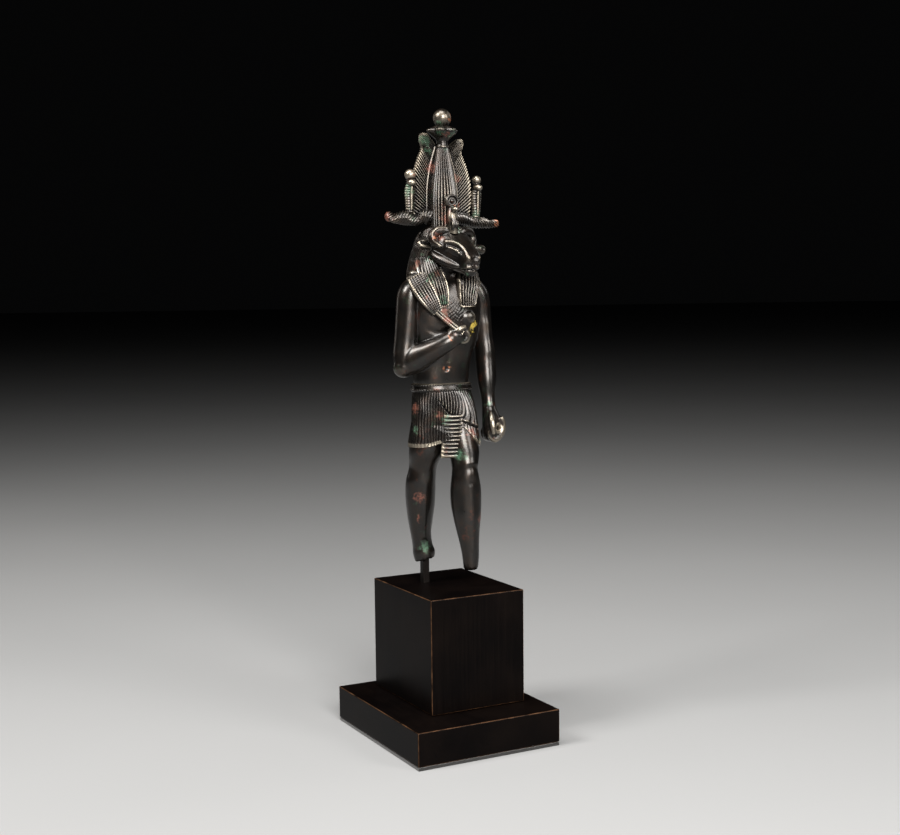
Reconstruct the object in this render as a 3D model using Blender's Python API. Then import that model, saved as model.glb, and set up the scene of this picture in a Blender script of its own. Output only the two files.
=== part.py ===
"""Ram-headed bronze figure with a tall plumed crown, held by one rod over a two-step base.

Metres, +Z up. The origin is at the middle of the underside of the base, the figure faces -Y
and its left side is at +X. The figure is drawn in its own units, one to a millimetre at full size.
"""

import math

import bpy
import bmesh
from mathutils import Matrix, Vector

# Driving dimensions
PLINTH_WIDTH = 0.0686
PLINTH_DEPTH = 0.0810
PLINTH_HEIGHT = 0.0145
PAD_THICKNESS = 0.0013
PAD_INSET = 0.0002
BLOCK_WIDTH = 0.0457
BLOCK_DEPTH = 0.0567
BLOCK_HEIGHT = 0.0500
BLOCK_SHIFT_X = 0.0041
BLOCK_SHIFT_Y = 0.0053
ARRIS = 0.0004
ROD_SIDE = 0.0030
ROD_SEAT_DEPTH = 0.0120
ROD_IN_LEG = 0.0060
FIT_GAP = 0.0003
SEAT_END_GAP = 0.0005
FIGURE_HEIGHT = 0.2010
FIGURE_RISE = 0.0079

# The figure's own units: its drawing is this many units tall
FIGURE_UNITS = 201.0
UNIT = FIGURE_HEIGHT / FIGURE_UNITS

BRONZE = ("bronze", (0.045, 0.036, 0.028), 0.38, 0.9)
BLACK_STEEL = ("black_steel", (0.012, 0.010, 0.009), 0.45, 0.8)
DARK_BASE = ("dark_base", (0.016, 0.012, 0.009), 0.35, 0.1)
FELT = ("felt", (0.006, 0.006, 0.006), 0.95, 0.0)

FIST_HOLE = 1.4
HEAD_TURN = 6.0
HEAD_SHIFT = 1.0

# Counts that carve the surface
KILT_PLEATS = 24
TAB_PLEATS = 8
REED_FLUTES = 13
TUFT_PETALS = 6
FEATHER_BARBS = 10
LAPPET_STRANDS = 4
WIG_STRANDS = 16
LASHES = 4
HORN_TWISTS = 7

BLOCK_BASE = PAD_THICKNESS + FIT_GAP + PLINTH_HEIGHT + FIT_GAP
BLOCK_TOP = BLOCK_BASE + BLOCK_HEIGHT
FIGURE_BASE = BLOCK_TOP + FIGURE_RISE


def clear_scene():
    for obj in list(bpy.data.objects):
        bpy.data.objects.remove(obj, do_unlink=True)


def material(spec):
    name, colour, roughness, metallic = spec
    made = bpy.data.materials.get(name) or bpy.data.materials.new(name)
    made.use_nodes = True
    shader = made.node_tree.nodes["Principled BSDF"]
    shader.inputs["Base Color"].default_value = (*colour, 1)
    shader.inputs["Roughness"].default_value = roughness
    shader.inputs["Metallic"].default_value = metallic
    return made


def new_object(name, mesh):
    obj = bpy.data.objects.new(name, mesh)
    bpy.context.scene.collection.objects.link(obj)
    return obj


def helper(obj):
    obj.hide_render = True
    obj.display_type = "WIRE"
    return obj


def spread(rows, count):
    """Rows of numbers read at count even steps from a smooth curve through them."""
    found = []
    for step in range(count):
        at = step * (len(rows) - 1) / (count - 1)
        i = min(int(at), len(rows) - 2)
        t = at - i
        before, a, b, after = rows[max(i - 1, 0)], rows[i], rows[i + 1], rows[min(i + 2, len(rows) - 1)]
        found.append([
            0.5 * (2 * q + (r - p) * t + (2 * p - 5 * q + 4 * r - s) * t * t + (3 * q - p - 3 * r + s) * t**3)
            for p, q, r, s in zip(before, a, b, after)
        ])
    return found


def round_curve(angle, power):
    """A point of the unit superellipse: power 2 is a circle, more is squarer."""
    c, s = math.cos(angle), math.sin(angle)
    fall = (abs(c) ** power + abs(s) ** power) ** (-1 / power)
    return c * fall, s * fall


def skin(name, rings):
    """A closed body from rings of points with as many points each, capped with fans."""
    bm = bmesh.new()
    rows = [[bm.verts.new(point) for point in ring] for ring in rings]
    count = len(rows[0])
    for low, high in zip(rows, rows[1:]):
        for i in range(count):
            j = (i + 1) % count
            bm.faces.new((low[i], low[j], high[j], high[i]))
    for row, turned in ((rows[0], True), (rows[-1], False)):
        middle = bm.verts.new(sum((v.co for v in row), Vector()) / count)
        for i in range(count):
            j = (i + 1) % count
            bm.faces.new((row[j], row[i], middle) if turned else (row[i], row[j], middle))
    bmesh.ops.recalc_face_normals(bm, faces=bm.faces)
    mesh = bpy.data.meshes.new(name)
    bm.to_mesh(mesh)
    bm.free()
    return new_object(name, mesh)


def stack(name, rows, count, sides, power=2.0, wave=None):
    """A body of level rings. A row is height, middle x and y, half width and half depth, and a turn."""
    rings = []
    for step, row in enumerate(spread(rows, count)):
        z, cx, cy, rx, ry = row[:5]
        turn = Matrix.Rotation(row[5] if len(row) > 5 else 0, 3, "Z")
        ring = []
        for i in range(sides):
            angle = 2 * math.pi * i / sides
            x, y = round_curve(angle, power)
            more = wave(angle, i, step / (count - 1)) if wave else 0
            ring.append(Vector((cx, cy, z)) + turn @ Vector((x * (rx + more), y * (ry + more), 0)))
        rings.append(ring)
    return skin(name, rings)


def tube(name, rows, count, sides, wave=None, side=(1, 0, 0), power=2.0):
    """A body along a path. A row is a point and its half width (along side) and half depth."""
    path = spread(rows, count)
    points = [Vector(row[:3]) for row in path]
    rings = []
    for step, row in enumerate(path):
        along = points[min(step + 1, count - 1)] - points[max(step - 1, 0)]
        along.normalize()
        across = (Vector(side) - along * along.dot(Vector(side))).normalized()
        deep = along.cross(across)
        ring = []
        for i in range(sides):
            angle = 2 * math.pi * i / sides
            x, y = round_curve(angle, power)
            more = wave(angle, i, step / (count - 1)) if wave else 0
            ring.append(points[step] + across * x * (row[3] + more) + deep * y * (row[4] + more))
        rings.append(ring)
    return skin(name, rings)


def ball(name, middle, radii, sides=12, rings=7):
    """An egg form with its poles along Z."""
    rows = []
    for step in range(1, rings):
        lift = math.pi * step / rings
        rows.append([
            Vector((
                middle[0] + radii[0] * math.sin(lift) * math.cos(2 * math.pi * i / sides),
                middle[1] + radii[1] * math.sin(lift) * math.sin(2 * math.pi * i / sides),
                middle[2] - radii[2] * math.cos(lift),
            ))
            for i in range(sides)
        ])
    return skin(name, rows)


def mirrored(rows):
    return [[-row[0], *row[1:]] for row in rows]


def zigzag(depth):
    """Ridges and grooves in turn, point by point."""
    return lambda angle, i, t: depth if i % 2 else -depth


# Rows of a leg: height, middle x and y, half width and half depth
LEFT_LEG = [
    (76, 3.4, -0.6, 6.6, 6.8),
    (66, 4.5, -3.0, 7.3, 7.6),
    (57, 5.1, -5.6, 7.0, 7.3),
    (51, 5.6, -7.0, 6.6, 7.0),
    (45, 5.0, -8.4, 5.6, 6.2),
    (41, 5.0, -8.8, 6.1, 6.3),
    (35.6, 5.4, -8.3, 6.8, 6.9),
    (29.6, 5.4, -8.5, 6.8, 6.8),
    (23.9, 5.3, -9.4, 6.3, 6.0),
    (17.7, 5.4, -10.0, 5.3, 5.0),
    (11.8, 5.8, -10.5, 4.4, 4.2),
    (6.1, 6.1, -11.0, 3.8, 3.6),
    (1.2, 6.1, -11.1, 3.3, 3.1),
    (0.0, 6.0, -11.1, 2.5, 2.3),
]
RIGHT_LEG = [
    (76, -4.8, 1.8, 7.0, 7.0),
    (66, -6.5, 1.5, 7.8, 7.8),
    (57, -7.9, 2.4, 7.7, 7.7),
    (51, -8.4, 3.0, 7.5, 7.4),
    (45, -8.8, 5.0, 6.2, 6.5),
    (39.0, -9.4, 6.2, 6.6, 6.7),
    (33.0, -9.2, 7.2, 6.7, 6.7),
    (27.3, -9.0, 7.7, 6.4, 6.3),
    (21.0, -8.8, 8.3, 5.6, 5.5),
    (15.0, -8.5, 8.6, 4.7, 4.6),
    (9.5, -7.6, 8.9, 4.5, 4.6),
    (6.2, -7.0, 8.7, 5.0, 4.8),
    (3.2, -6.8, 8.5, 4.6, 4.4),
]
BREAK_HEIGHT = 3.2
BREAK_SLOPE = 0.24

# The kilt hangs from the waist to the hem, round both thighs
WAIST = (-0.8, 1.9, 13.5, 9.6)
BELT_TOP = 82.3
BELT_DEEP = 3.3
KILT_TOP = 80.4
KILT_GATHER = 82.4
KILT_HEM = 54.5
CLOTH = 0.55
# Where the upper end of the cloth crosses the front: degrees round the waist, and height
KILT_EDGE = [(238, 74.9), (252, 71.2), (266, 68.2), (282, 66.2), (298, 64.6), (325, 62.0)]


def legs():
    front = stack("left_leg", LEFT_LEG, 12, 10)
    rear = stack("right_leg", RIGHT_LEG, 11, 10)
    # The break across the right shin slopes up towards the figure's left.
    fading = 9.0
    for vertex in rear.data.vertices:
        fade = max(0.0, 1 - (vertex.co.z - BREAK_HEIGHT) / fading)
        vertex.co.z += fade * BREAK_SLOPE * (vertex.co.x + 6.8)
    return [front, rear]


def leg_at(rows, z):
    """The leg's middle and mean radius at a height."""
    for high, low in zip(rows, rows[1:]):
        if high[0] >= z >= low[0]:
            t = (high[0] - z) / (high[0] - low[0])
            x, y, wide, deep = (a + (b - a) * t for a, b in zip(high[1:], low[1:]))
            return x, y, (wide + deep) / 2
    return rows[0][1], rows[0][2], (rows[0][3] + rows[0][4]) / 2


def kilt_point(angle, z, out=0.0):
    """A point on the kilt at an angle round the waist: cloth drawn tight round the waist and both thighs."""
    down = min(1.0, max(0.0, (KILT_GATHER - z) / 17.5))
    share = down * down * (3 - 2 * down)
    legs_here = [leg_at(rows, min(z, 66)) for rows in (LEFT_LEG, RIGHT_LEG)]
    middle_x, middle_y, wide, deep = WAIST
    reach = 1e9
    for step in range(48):
        turn = 2 * math.pi * step / 48
        facing = math.cos(angle - turn)
        if facing < 0.15:
            continue
        nx, ny = math.cos(turn), math.sin(turn)
        waist = math.hypot(wide * nx, deep * ny)
        thighs = max((x - middle_x) * nx + (y - middle_y) * ny + r for x, y, r in legs_here)
        reach = min(reach, ((1 - share) * waist + share * (thighs + CLOTH)) / facing)
    reach += out
    return Vector((middle_x + reach * math.cos(angle), middle_y + reach * math.sin(angle), z))


def hem_lift(angle):
    """How far the hem rises at the front, where the upper end of the cloth crosses the left thigh."""
    turn = math.degrees(angle) % 360
    return 9.0 * math.exp(-((turn - 282) / 20) ** 2) + 2.0 * math.exp(-((turn - 245) / 26) ** 2)


def kilt():
    rings = []
    levels = 5
    for step in range(levels):
        t = step / (levels - 1)
        ring = []
        for i in range(2 * KILT_PLEATS):
            angle = 2 * math.pi * i / (2 * KILT_PLEATS)
            z = KILT_TOP + (KILT_HEM + hem_lift(angle) - KILT_TOP) * t
            ring.append(kilt_point(angle, z, 0.26 * (1 if i % 2 else -1) * min(1, 5 * t)))
        rings.append(ring)
    x, y, wide, deep = WAIST
    belt = stack("belt", [(BELT_TOP, x, y, wide, deep), (BELT_TOP - 1.0, x, y, wide + 0.5, deep + 0.5),
                          (BELT_TOP - BELT_DEEP, x, y, wide + 0.5, deep + 0.5)], 3, 16)
    return [skin("kilt_cloth", rings), belt]


def apron_tab():
    """The tab that hangs between the thighs, with level pleats, and the edge of the cloth above it."""
    top, bottom, steps = 69.0, 50.0, 2 * TAB_PLEATS + 1
    turn = Matrix.Rotation(math.radians(-22), 3, "Z")
    rings = []
    for step in range(steps):
        t = step / (steps - 1)
        half = 4.0 + 0.6 * t
        proud = 0.35 if step % 2 else 0.0
        middle = Vector((-1.6 - 0.6 * t, -10.7 + 1.0 * t, top + (bottom - top) * t))
        rings.append([middle + turn @ Vector((x * half, y, 0)) for x, y in
                      ((-1, 0.5), (-0.6, -proud), (0.6, -proud), (1, 0.5), (0.9, 4.5), (-0.9, 4.5))])
    edge = []
    for degrees, z in KILT_EDGE:
        edge.append((*kilt_point(math.radians(degrees), z, 0.2), 0.75, 0.75))
    return [skin("tab", rings), tube("overlap", edge, 7, 5)]


def torso():
    rows = [
        (74.0, -0.8, 1.9, 11.6, 7.8),
        (81.0, -0.8, 1.9, 12.4, 8.6),
        (84.0, -0.8, 1.9, 12.9, 9.0),
        (92.0, -0.5, 1.5, 13.2, 9.0),
        (102.0, 0.0, 0.8, 15.0, 9.7),
        (111.0, 0.0, 0.2, 16.4, 9.9),
        (119.0, 0.0, 0.0, 17.0, 9.0),
        (125.0, 0.0, 0.6, 15.0, 8.0),
        (129.0, 0.0, 1.2, 9.5, 7.0),
        (136.0, 0.0, 0.5, 6.5, 6.5),
    ]
    body = stack("torso", rows, 10, 14, 2.3)
    boss = ball("chest_boss", (7.5, -9.0, 111.1), (3.3, 1.3, 2.7), 10, 6)
    return [body, boss]


def arms():
    bent = [
        (-14.0, 0.5, 124.5, 4.6, 5.0),
        (-16.6, 0.6, 121.0, 5.2, 5.6),
        (-17.8, 0.6, 112.0, 5.0, 5.4),
        (-18.9, 0.5, 102.0, 4.8, 5.1),
        (-19.9, 0.2, 95.0, 4.7, 5.0),
        (-20.2, -0.4, 90.0, 4.2, 4.6),
    ]
    forearm = [
        (-20.3, 0.4, 91.0, 5.6, 4.4),
        (-17.0, -2.4, 92.8, 6.2, 4.8),
        (-12.0, -6.6, 96.0, 5.1, 4.6),
        (-7.5, -10.3, 98.9, 4.3, 4.1),
        (-4.0, -12.4, 101.2, 3.8, 3.5),
        (-1.0, -13.0, 102.8, 2.6, 2.4),
    ]
    hanging = [
        (14.0, 0.5, 124.5, 4.6, 5.0),
        (16.8, 0.2, 120.5, 5.0, 5.5),
        (18.2, 0.0, 112.0, 4.7, 5.2),
        (18.7, -0.6, 103.0, 4.5, 4.9),
        (19.3, -1.6, 96.0, 4.6, 4.7),
        (19.4, -2.6, 89.0, 4.6, 4.5),
        (19.2, -3.8, 82.0, 4.2, 4.1),
        (18.9, -5.0, 75.5, 3.2, 3.1),
        (18.8, -5.8, 72.0, 3.0, 3.2),
        (18.8, -6.6, 68.0, 3.3, 3.8),
    ]
    return [
        stack_along("right_upper_arm", bent, 7),
        ball("right_elbow", (-20.4, -0.2, 89.9), (4.5, 4.7, 4.6), 10, 6),
        tube("right_forearm", forearm, 6, 10, side=(0, 0, 1)),
        stack_along("left_arm", hanging, 10),
    ]


def stack_along(name, rows, count):
    return tube(name, rows, count, 9)


def fists():
    """The closed right hand on the chest, and the left fist with the hole of a lost attribute."""
    right = [ball("right_fist", (-0.8, -12.9, 103.3), (5.0, 3.7, 4.3), 10, 6)]
    for finger in range(3):
        y = -15.0 + 2.1 * finger
        right.append(tube(f"right_finger_{finger}", [
            (0.0, y, 105.6, 1.2, 1.2), (2.4, y - 0.2, 104.9, 1.3, 1.3), (3.3, y - 0.2, 103.0, 1.3, 1.3),
            (2.4, y, 101.2, 1.3, 1.3), (0.0, y, 100.8, 1.2, 1.2),
        ], 5, 5, side=(0, 1, 0)))
    right.append(tube("right_thumb", [(-3.0, -14.4, 104.6, 1.2, 1.2), (-0.8, -16.0, 106.2, 1.3, 1.3),
                                      (2.0, -15.8, 107.2, 1.0, 1.0)], 4, 6))
    palm = [(18.8, -6.0, 70.4, 3.0, 3.4), (18.7, -7.8, 66.4, 3.7, 4.6), (18.8, -8.6, 62.4, 4.4, 4.7),
            (18.2, -8.8, 58.8, 3.8, 4.4), (17.4, -8.8, 56.2, 2.2, 3.2)]
    left = [tube("left_palm", palm, 5, 8)]
    for finger in range(4):
        y = -5.8 - 2.1 * finger
        left.append(tube(f"left_finger_{finger}", [
            (21.2, y, 67.0, 1.4, 1.3), (22.4, y, 63.6, 1.5, 1.5), (21.4, y, 59.6, 1.5, 1.5),
            (18.6, y, 57.2, 1.5, 1.45), (16.2, y, 58.6, 1.4, 1.35), (15.8, y, 61.6, 1.2, 1.1),
        ], 6, 5, side=(0, 1, 0)))
    left.append(tube("left_thumb", [(17.6, -10.0, 69.0, 1.2, 1.2), (16.8, -12.2, 66.4, 1.35, 1.35),
                                    (16.6, -13.4, 63.0, 1.35, 1.35), (16.9, -13.2, 59.6, 1.1, 1.1)], 5, 6))
    return right + left


def fist_hole_cutter():
    """A round bar along Y, where the left fist once held something."""
    x, y, z = 19.7, -9.0, 62.3
    reach = 9.0
    bar = [(x, y - reach, z, FIST_HOLE, FIST_HOLE), (x, y + reach, z, FIST_HOLE, FIST_HOLE)]
    return tube("fist_hole_cutter", bar, 2, 8)


def head():
    """The ram's head, turned a little to the figure's left."""
    skull = [
        (0, 7.0, 140.0, 5.0, 5.0),
        (0, 0.0, 141.0, 9.2, 8.6),
        (0, -5.0, 140.6, 9.0, 7.9),
        (0, -9.5, 138.6, 7.5, 7.1),
        (0, -13.5, 136.5, 5.6, 6.3),
        (0, -16.8, 134.9, 4.5, 5.6),
        (0, -19.2, 133.8, 4.1, 4.9),
        (0, -20.7, 133.2, 3.5, 3.9),
        (0, -21.6, 133.0, 2.0, 2.2),
    ]
    made = [tube("skull", skull, 10, 10, power=2.8)]
    horn = [
        (-1.6, -6.6, 147.2, 1.8, 1.8),
        (-4.6, -6.8, 148.2, 2.1, 2.1),
        (-8.2, -5.9, 148.2, 2.1, 2.1),
        (-10.2, -5.2, 146.2, 2.0, 2.0),
        (-10.3, -6.4, 143.4, 1.6, 1.6),
        (-9.1, -8.6, 141.9, 1.0, 1.0),
        (-8.2, -9.6, 141.8, 0.5, 0.5),
    ]
    jaw = [
        (-9.6, -0.5, 140.2, 1.0, 1.0),
        (-9.2, -3.0, 138.9, 1.5, 1.5),
        (-8.2, -7.5, 136.4, 1.6, 1.6),
        (-6.4, -12.0, 133.9, 1.5, 1.5),
        (-4.9, -15.0, 132.9, 1.1, 1.1),
        (-4.0, -16.8, 132.6, 0.6, 0.6),
    ]
    for name, rows, count, sides in (("horn", horn, 10, 7), ("jaw", jaw, 6, 5)):
        made.append(tube("right_" + name, rows, count, sides))
        made.append(tube("left_" + name, mirrored(rows), count, sides))
    # One ear is a long leaf, and the other, seen end on, is a round cup.
    leaf = [
        (-7.0, -1.8, 141.6, 1.2, 0.9),
        (-10.4, -2.8, 142.2, 2.0, 1.1),
        (-13.4, -3.2, 142.6, 2.0, 1.0),
        (-15.6, -3.2, 143.0, 1.2, 0.8),
        (-16.6, -3.1, 143.2, 0.3, 0.3),
    ]
    cup = [
        (7.0, -1.8, 141.6, 1.2, 1.0),
        (11.0, -2.8, 141.2, 1.6, 1.3),
        (14.5, -3.4, 140.9, 1.9, 1.5),
        (17.0, -3.6, 140.7, 2.1, 1.8),
        (18.4, -3.6, 140.7, 1.2, 1.0),
    ]
    made.append(tube("right_ear", leaf, 5, 7, side=(0, 0, 1)))
    made.append(tube("left_ear", cup, 5, 7, side=(0, 0, 1)))
    for side in (-1, 1):
        made.append(ball(f"eye_{side}", (side * 4.7, -14.6, 139.7), (1.0, 2.3, 1.0), 6, 4))
    made.append(ball("chin", (0, -18.4, 130.1), (2.7, 2.2, 1.8), 8, 4))
    turned = Matrix.Translation((HEAD_SHIFT, 0, 0)) @ Matrix.Rotation(math.radians(HEAD_TURN), 4, "Z")
    for form in made:
        form.data.transform(turned)
    return made


def wig():
    rows = [
        (151.4, 0.6, 0.8, 3.5, 4.0),
        (150.2, 0.6, 1.0, 7.6, 8.0),
        (147.0, 0.6, 1.6, 10.8, 10.6),
        (141.5, 0.5, 2.6, 12.6, 11.4),
        (135.5, 0.2, 3.8, 13.8, 11.6),
        (129.5, 0, 4.9, 14.4, 11.0),
        (123.5, 0, 6.2, 12.6, 8.0),
        (117.5, 0, 7.4, 10.8, 5.2),
    ]
    ripple = zigzag(0.25)
    shell = stack("wig_back", rows, 6, 2 * WIG_STRANDS, 2.1, lambda a, i, t: ripple(a, i, t) * min(1, 3 * t))
    made = [shell]
    for side in (-1, 1):
        made.append(lappet("left_lappet" if side > 0 else "right_lappet", side))
    return made


def lappet(name, side):
    """One front fall of the wig: a strap over the chest, with strands."""
    rows = [(142.0, 8.4, 1.0, 2.2), (137.0, 9.6, -3.2, 3.6), (132.0, 9.6, -6.8, 5.1), (126.5, 8.8, -9.4, 5.7),
            (121.0, 7.6, -10.4, 4.8), (115.6, 6.8, -10.7, 3.8)]
    across = 2 * LAPPET_STRANDS + 1
    rings = []
    for z, middle, front, half in spread(rows, 7):
        curl = 1.8 + 0.16 * (z - 116)
        ring = []
        for i in range(across):
            share = 2 * i / (across - 1) - 1
            proud = 0.28 if i % 2 else 0.0
            ring.append(Vector((side * (middle + half * share), front + curl * max(share, 0) ** 3 - proud, z)))
        ring.append(Vector((side * (middle + half), front + curl + 2.6, z)))
        ring.append(Vector((side * (middle - half), front + 3.4, z)))
        rings.append(ring)
    return skin(name, rings)


def flail():
    """The scourge held in the right hand: its handle, and the lashes over the shoulder."""
    handle = [(-1.0, -15.6, 105.4, 1.0, 1.0), (-5.2, -13.6, 109.4, 1.1, 1.1), (-9.6, -11.6, 113.6, 1.2, 1.2)]
    made = [tube("flail_handle", handle, 3, 7)]
    across = 2 * LASHES + 1
    rings = []
    for x, y, z, half in spread([(-9.4, -11.6, 113.4, 1.6), (-12.2, -10.4, 118.5, 3.0), (-14.4, -8.0, 123.6, 3.6),
                                 (-15.6, -4.4, 128.6, 3.4)], 5):
        ring = []
        for i in range(across):
            share = 2 * i / (across - 1) - 1
            proud = 0.25 if i % 2 else 0.0
            ring.append(Vector((x + half * share * 0.86, y - proud - 0.8 * share, z + half * share * 0.5)))
        ring.append(Vector((x + half * 0.86, y + 3.6, z + half * 0.4)))
        ring.append(Vector((x - half * 0.86, y + 4.6, z - half * 0.4)))
        rings.append(ring)
    made.append(tube("flail_top", [(-15.8, 0.4, 129.8, 1.1, 1.1), (-13.6, -3.6, 129.9, 0.9, 0.9)], 2, 8))
    return made + [skin("flail_lashes", rings)]


def reed_bundle():
    rows = [(149.0, 0, -0.6, 5.7, 5.7), (156.0, 0, -0.5, 5.8, 5.8), (165.0, 0, -0.4, 5.75, 5.75),
            (174.8, 0, -0.2, 4.2, 4.2), (184.6, 0, 0.0, 2.6, 2.6)]
    ripple = zigzag(0.24)
    made = [stack("reeds", rows, 5, 2 * REED_FLUTES, wave=lambda a, i, t: ripple(a, i, t) * (1 - 0.5 * t))]
    made.append(ball("collar", (0, 0, 185.4), (2.6, 2.6, 1.5), 12, 5))

    def petals(angle, i, t):
        return (0.55 * t) * math.cos(TUFT_PETALS * angle)

    tuft = [(186.0, 0, 0, 2.3, 2.3), (188.2, 0, 0, 3.1, 3.1), (189.8, 0, 0, 5.2, 5.2), (191.2, 0, 0, 6.5, 6.5),
            (192.6, 0, 0, 5.4, 5.4)]
    made.append(stack("tuft", tuft, 5, 3 * TUFT_PETALS, wave=petals))
    made.append(tube("ball_neck", [(0, 0, 190, 2.4, 2.4), (0, 0, 194.6, 2.2, 2.2)], 2, 10))
    made.append(ball("crown_ball", (0, 0, 197.15), (3.85, 3.85, FIGURE_UNITS - 197.15), 12, 8))
    return made


def feather(name, side, tip):
    """One plume: barbs rise outwards from the middle, and the tip curls out."""
    inner = [(5.2, 150.5), (5.2, 155.0), (5.15, 159.5), (5.0, 164.5), (4.6, 169.5), (3.9, 174.5), (3.2, 178.5),
             (2.6, 181.8), (2.2, 184.2)]
    outer = [(13.6, 155.0), (14.5, 161.5), (14.4, 168.5), (13.0, 174.5), (11.2, 179.3), (9.5, 183.2), (10.4, 186.2),
             (9.7, 188.9), (7.0, 189.0)]
    steps = 2 * FEATHER_BARBS + 1
    rings = []
    for step, (a, b) in enumerate(zip(spread(inner, steps), spread(outer, steps))):
        rise = tip * step / (steps - 1)
        widen = 0.9 * max(side, 0) * (step / (steps - 1)) ** 2
        half = 0.95 if step % 2 else 0.7
        near, far = (side * a[0], a[1]), (side * (b[0] + widen), b[1] + rise)
        rings.append([Vector((near[0], 1.6 - half, near[1])), Vector((far[0], 1.6 - half * 0.8, far[1])),
                      Vector((far[0], 1.6 + half * 0.8, far[1])), Vector((near[0], 1.6 + half, near[1]))])
    return skin(name, rings)


def crown_horns():
    """Two level horns with waves and a spiral twist, cast a little askew."""
    right = [(-1.0, 1.0, 154.8, 2.6, 2.6), (-8.2, 1.4, 155.0, 3.0, 3.0), (-12.6, 1.5, 153.4, 2.3, 2.3),
             (-17.6, 1.5, 154.1, 3.0, 3.0), (-22.3, 1.5, 153.8, 2.0, 2.0), (-23.8, 1.5, 154.0, 1.7, 1.7),
             (-25.6, 1.5, 154.5, 1.9, 1.9), (-27.2, 1.5, 154.6, 0.9, 0.9)]
    left = [(1.0, 1.0, 154.4, 2.6, 2.6), (9.6, 1.4, 154.3, 2.7, 2.7), (15.8, 1.5, 152.4, 2.1, 2.1),
            (20.2, 1.5, 152.5, 2.3, 2.3), (23.8, 1.5, 152.0, 1.6, 1.6), (27.6, 1.5, 152.4, 1.2, 1.2),
            (28.6, 1.5, 152.5, 0.6, 0.6)]

    def twist(angle, i, t):
        return 0.22 * math.cos(angle + 2 * math.pi * HORN_TWISTS * t) * min(1, 5 * (1 - t))

    return [tube("right_crown_horn", right, 15, 6, twist, side=(0, 0, 1)),
            tube("left_crown_horn", left, 15, 6, twist, side=(0, 0, 1))]


def side_cobra(name, x, low, high, radius):
    """A rearing cobra with a ball on its head, on the end of each horn."""
    body = [(x * 0.985, 1.2, low, 1.3, 1.2), (x, 0.9, low + 4.0, 1.9, 1.3), (x, 0.6, high - 7.0, 2.4, 1.3),
            (x, 0.3, high - 4.0, 1.9, 1.4), (x, 0.3, high - 0.8, 1.2, 1.2)]
    made = [tube(name + "_body", body, 6, 7),
            ball(name + "_head", (x, -0.9, high - 3.4), (2.0, 2.4, 1.6), 8, 5),
            ball(name + "_ball", (x, 0.3, high), (radius, radius, radius), 8, 5)]
    return made


def front_cobra():
    body = [(0.3, -8.6, 147.6, 1.9, 2.4), (0.2, -9.4, 151.0, 1.9, 2.0), (0, -9.0, 154.0, 2.2, 1.7),
            (0, -8.2, 156.4, 1.9, 1.7), (0, -7.4, 158.6, 1.2, 1.6)]
    made = [tube("front_cobra_body", body, 6, 8)]
    made.append(ball("front_cobra_head", (0, -10.6, 157.4), (1.5, 2.4, 1.2), 8, 5))
    rim, middle = [], Vector((0, -8.0, 161.0))
    for out, forward in ((3.0, 1.2), (3.15, 0.0), (2.9, -1.0), (2.3, -1.05), (2.0, -0.4), (0.8, -0.5), (0.5, -0.9)):
        rim.append([middle + Vector((out * math.cos(a), forward, 0.9 * out * math.sin(a)))
                    for a in (2 * math.pi * i / 10 for i in range(10))])
    made.append(skin("front_cobra_disc", rim))
    return made


def joined(name, forms):
    """One body made of all the forms."""
    first = forms[0]
    group = bpy.data.collections.new(name + "_forms")
    for form in forms[1:]:
        group.objects.link(helper(form))
    union = first.modifiers.new("union", "BOOLEAN")
    union.operation = "UNION"
    union.operand_type = "COLLECTION"
    union.collection = group
    union.solver = "MANIFOLD"
    bpy.context.view_layer.update()
    evaluated = first.evaluated_get(bpy.context.evaluated_depsgraph_get())
    mesh = bpy.data.meshes.new_from_object(evaluated)
    mesh.name = name
    for form in forms:
        bpy.data.objects.remove(form, do_unlink=True)
    bpy.data.collections.remove(group)
    return new_object(name, mesh)


def box(name, middle, size):
    bm = bmesh.new()
    bmesh.ops.create_cube(bm, size=1, matrix=Matrix.Translation(middle) @ Matrix.Diagonal((*size, 1)))
    mesh = bpy.data.meshes.new(name)
    bm.to_mesh(mesh)
    bm.free()
    return new_object(name, mesh)


def cut(target, cutter):
    made = target.modifiers.new("socket", "BOOLEAN")
    made.operation = "DIFFERENCE"
    made.solver = "MANIFOLD"
    made.object = helper(cutter)


def soften(obj, width):
    bevel = obj.modifiers.new("arris", "BEVEL")
    bevel.width = width
    bevel.segments = 2
    bevel.limit_method = "ANGLE"


def build_figure():
    forms = torso() + legs() + kilt() + apron_tab() + arms() + fists() + head() + wig() + flail() + reed_bundle()
    forms += [feather("right_feather", -1, 1.4), feather("left_feather", 1, -0.6)]
    forms += crown_horns()
    forms += side_cobra("right_cobra", -15.6, 154.5, 172.3, 2.45)
    forms += side_cobra("left_cobra", 17.0, 153.0, 171.0, 2.0)
    forms += front_cobra()
    figure = joined("figure", forms)
    hole = fist_hole_cutter()
    for obj in (figure, hole):
        obj.data.transform(Matrix.Diagonal((UNIT, UNIT, UNIT, 1)))
        obj.location = (BLOCK_SHIFT_X, BLOCK_SHIFT_Y, FIGURE_BASE)
    cut(figure, hole)
    figure.data.materials.clear()
    figure.data.materials.append(material(BRONZE))
    figure.data.shade_smooth()
    figure.data.set_sharp_from_angle(angle=math.radians(40))
    return figure


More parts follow.
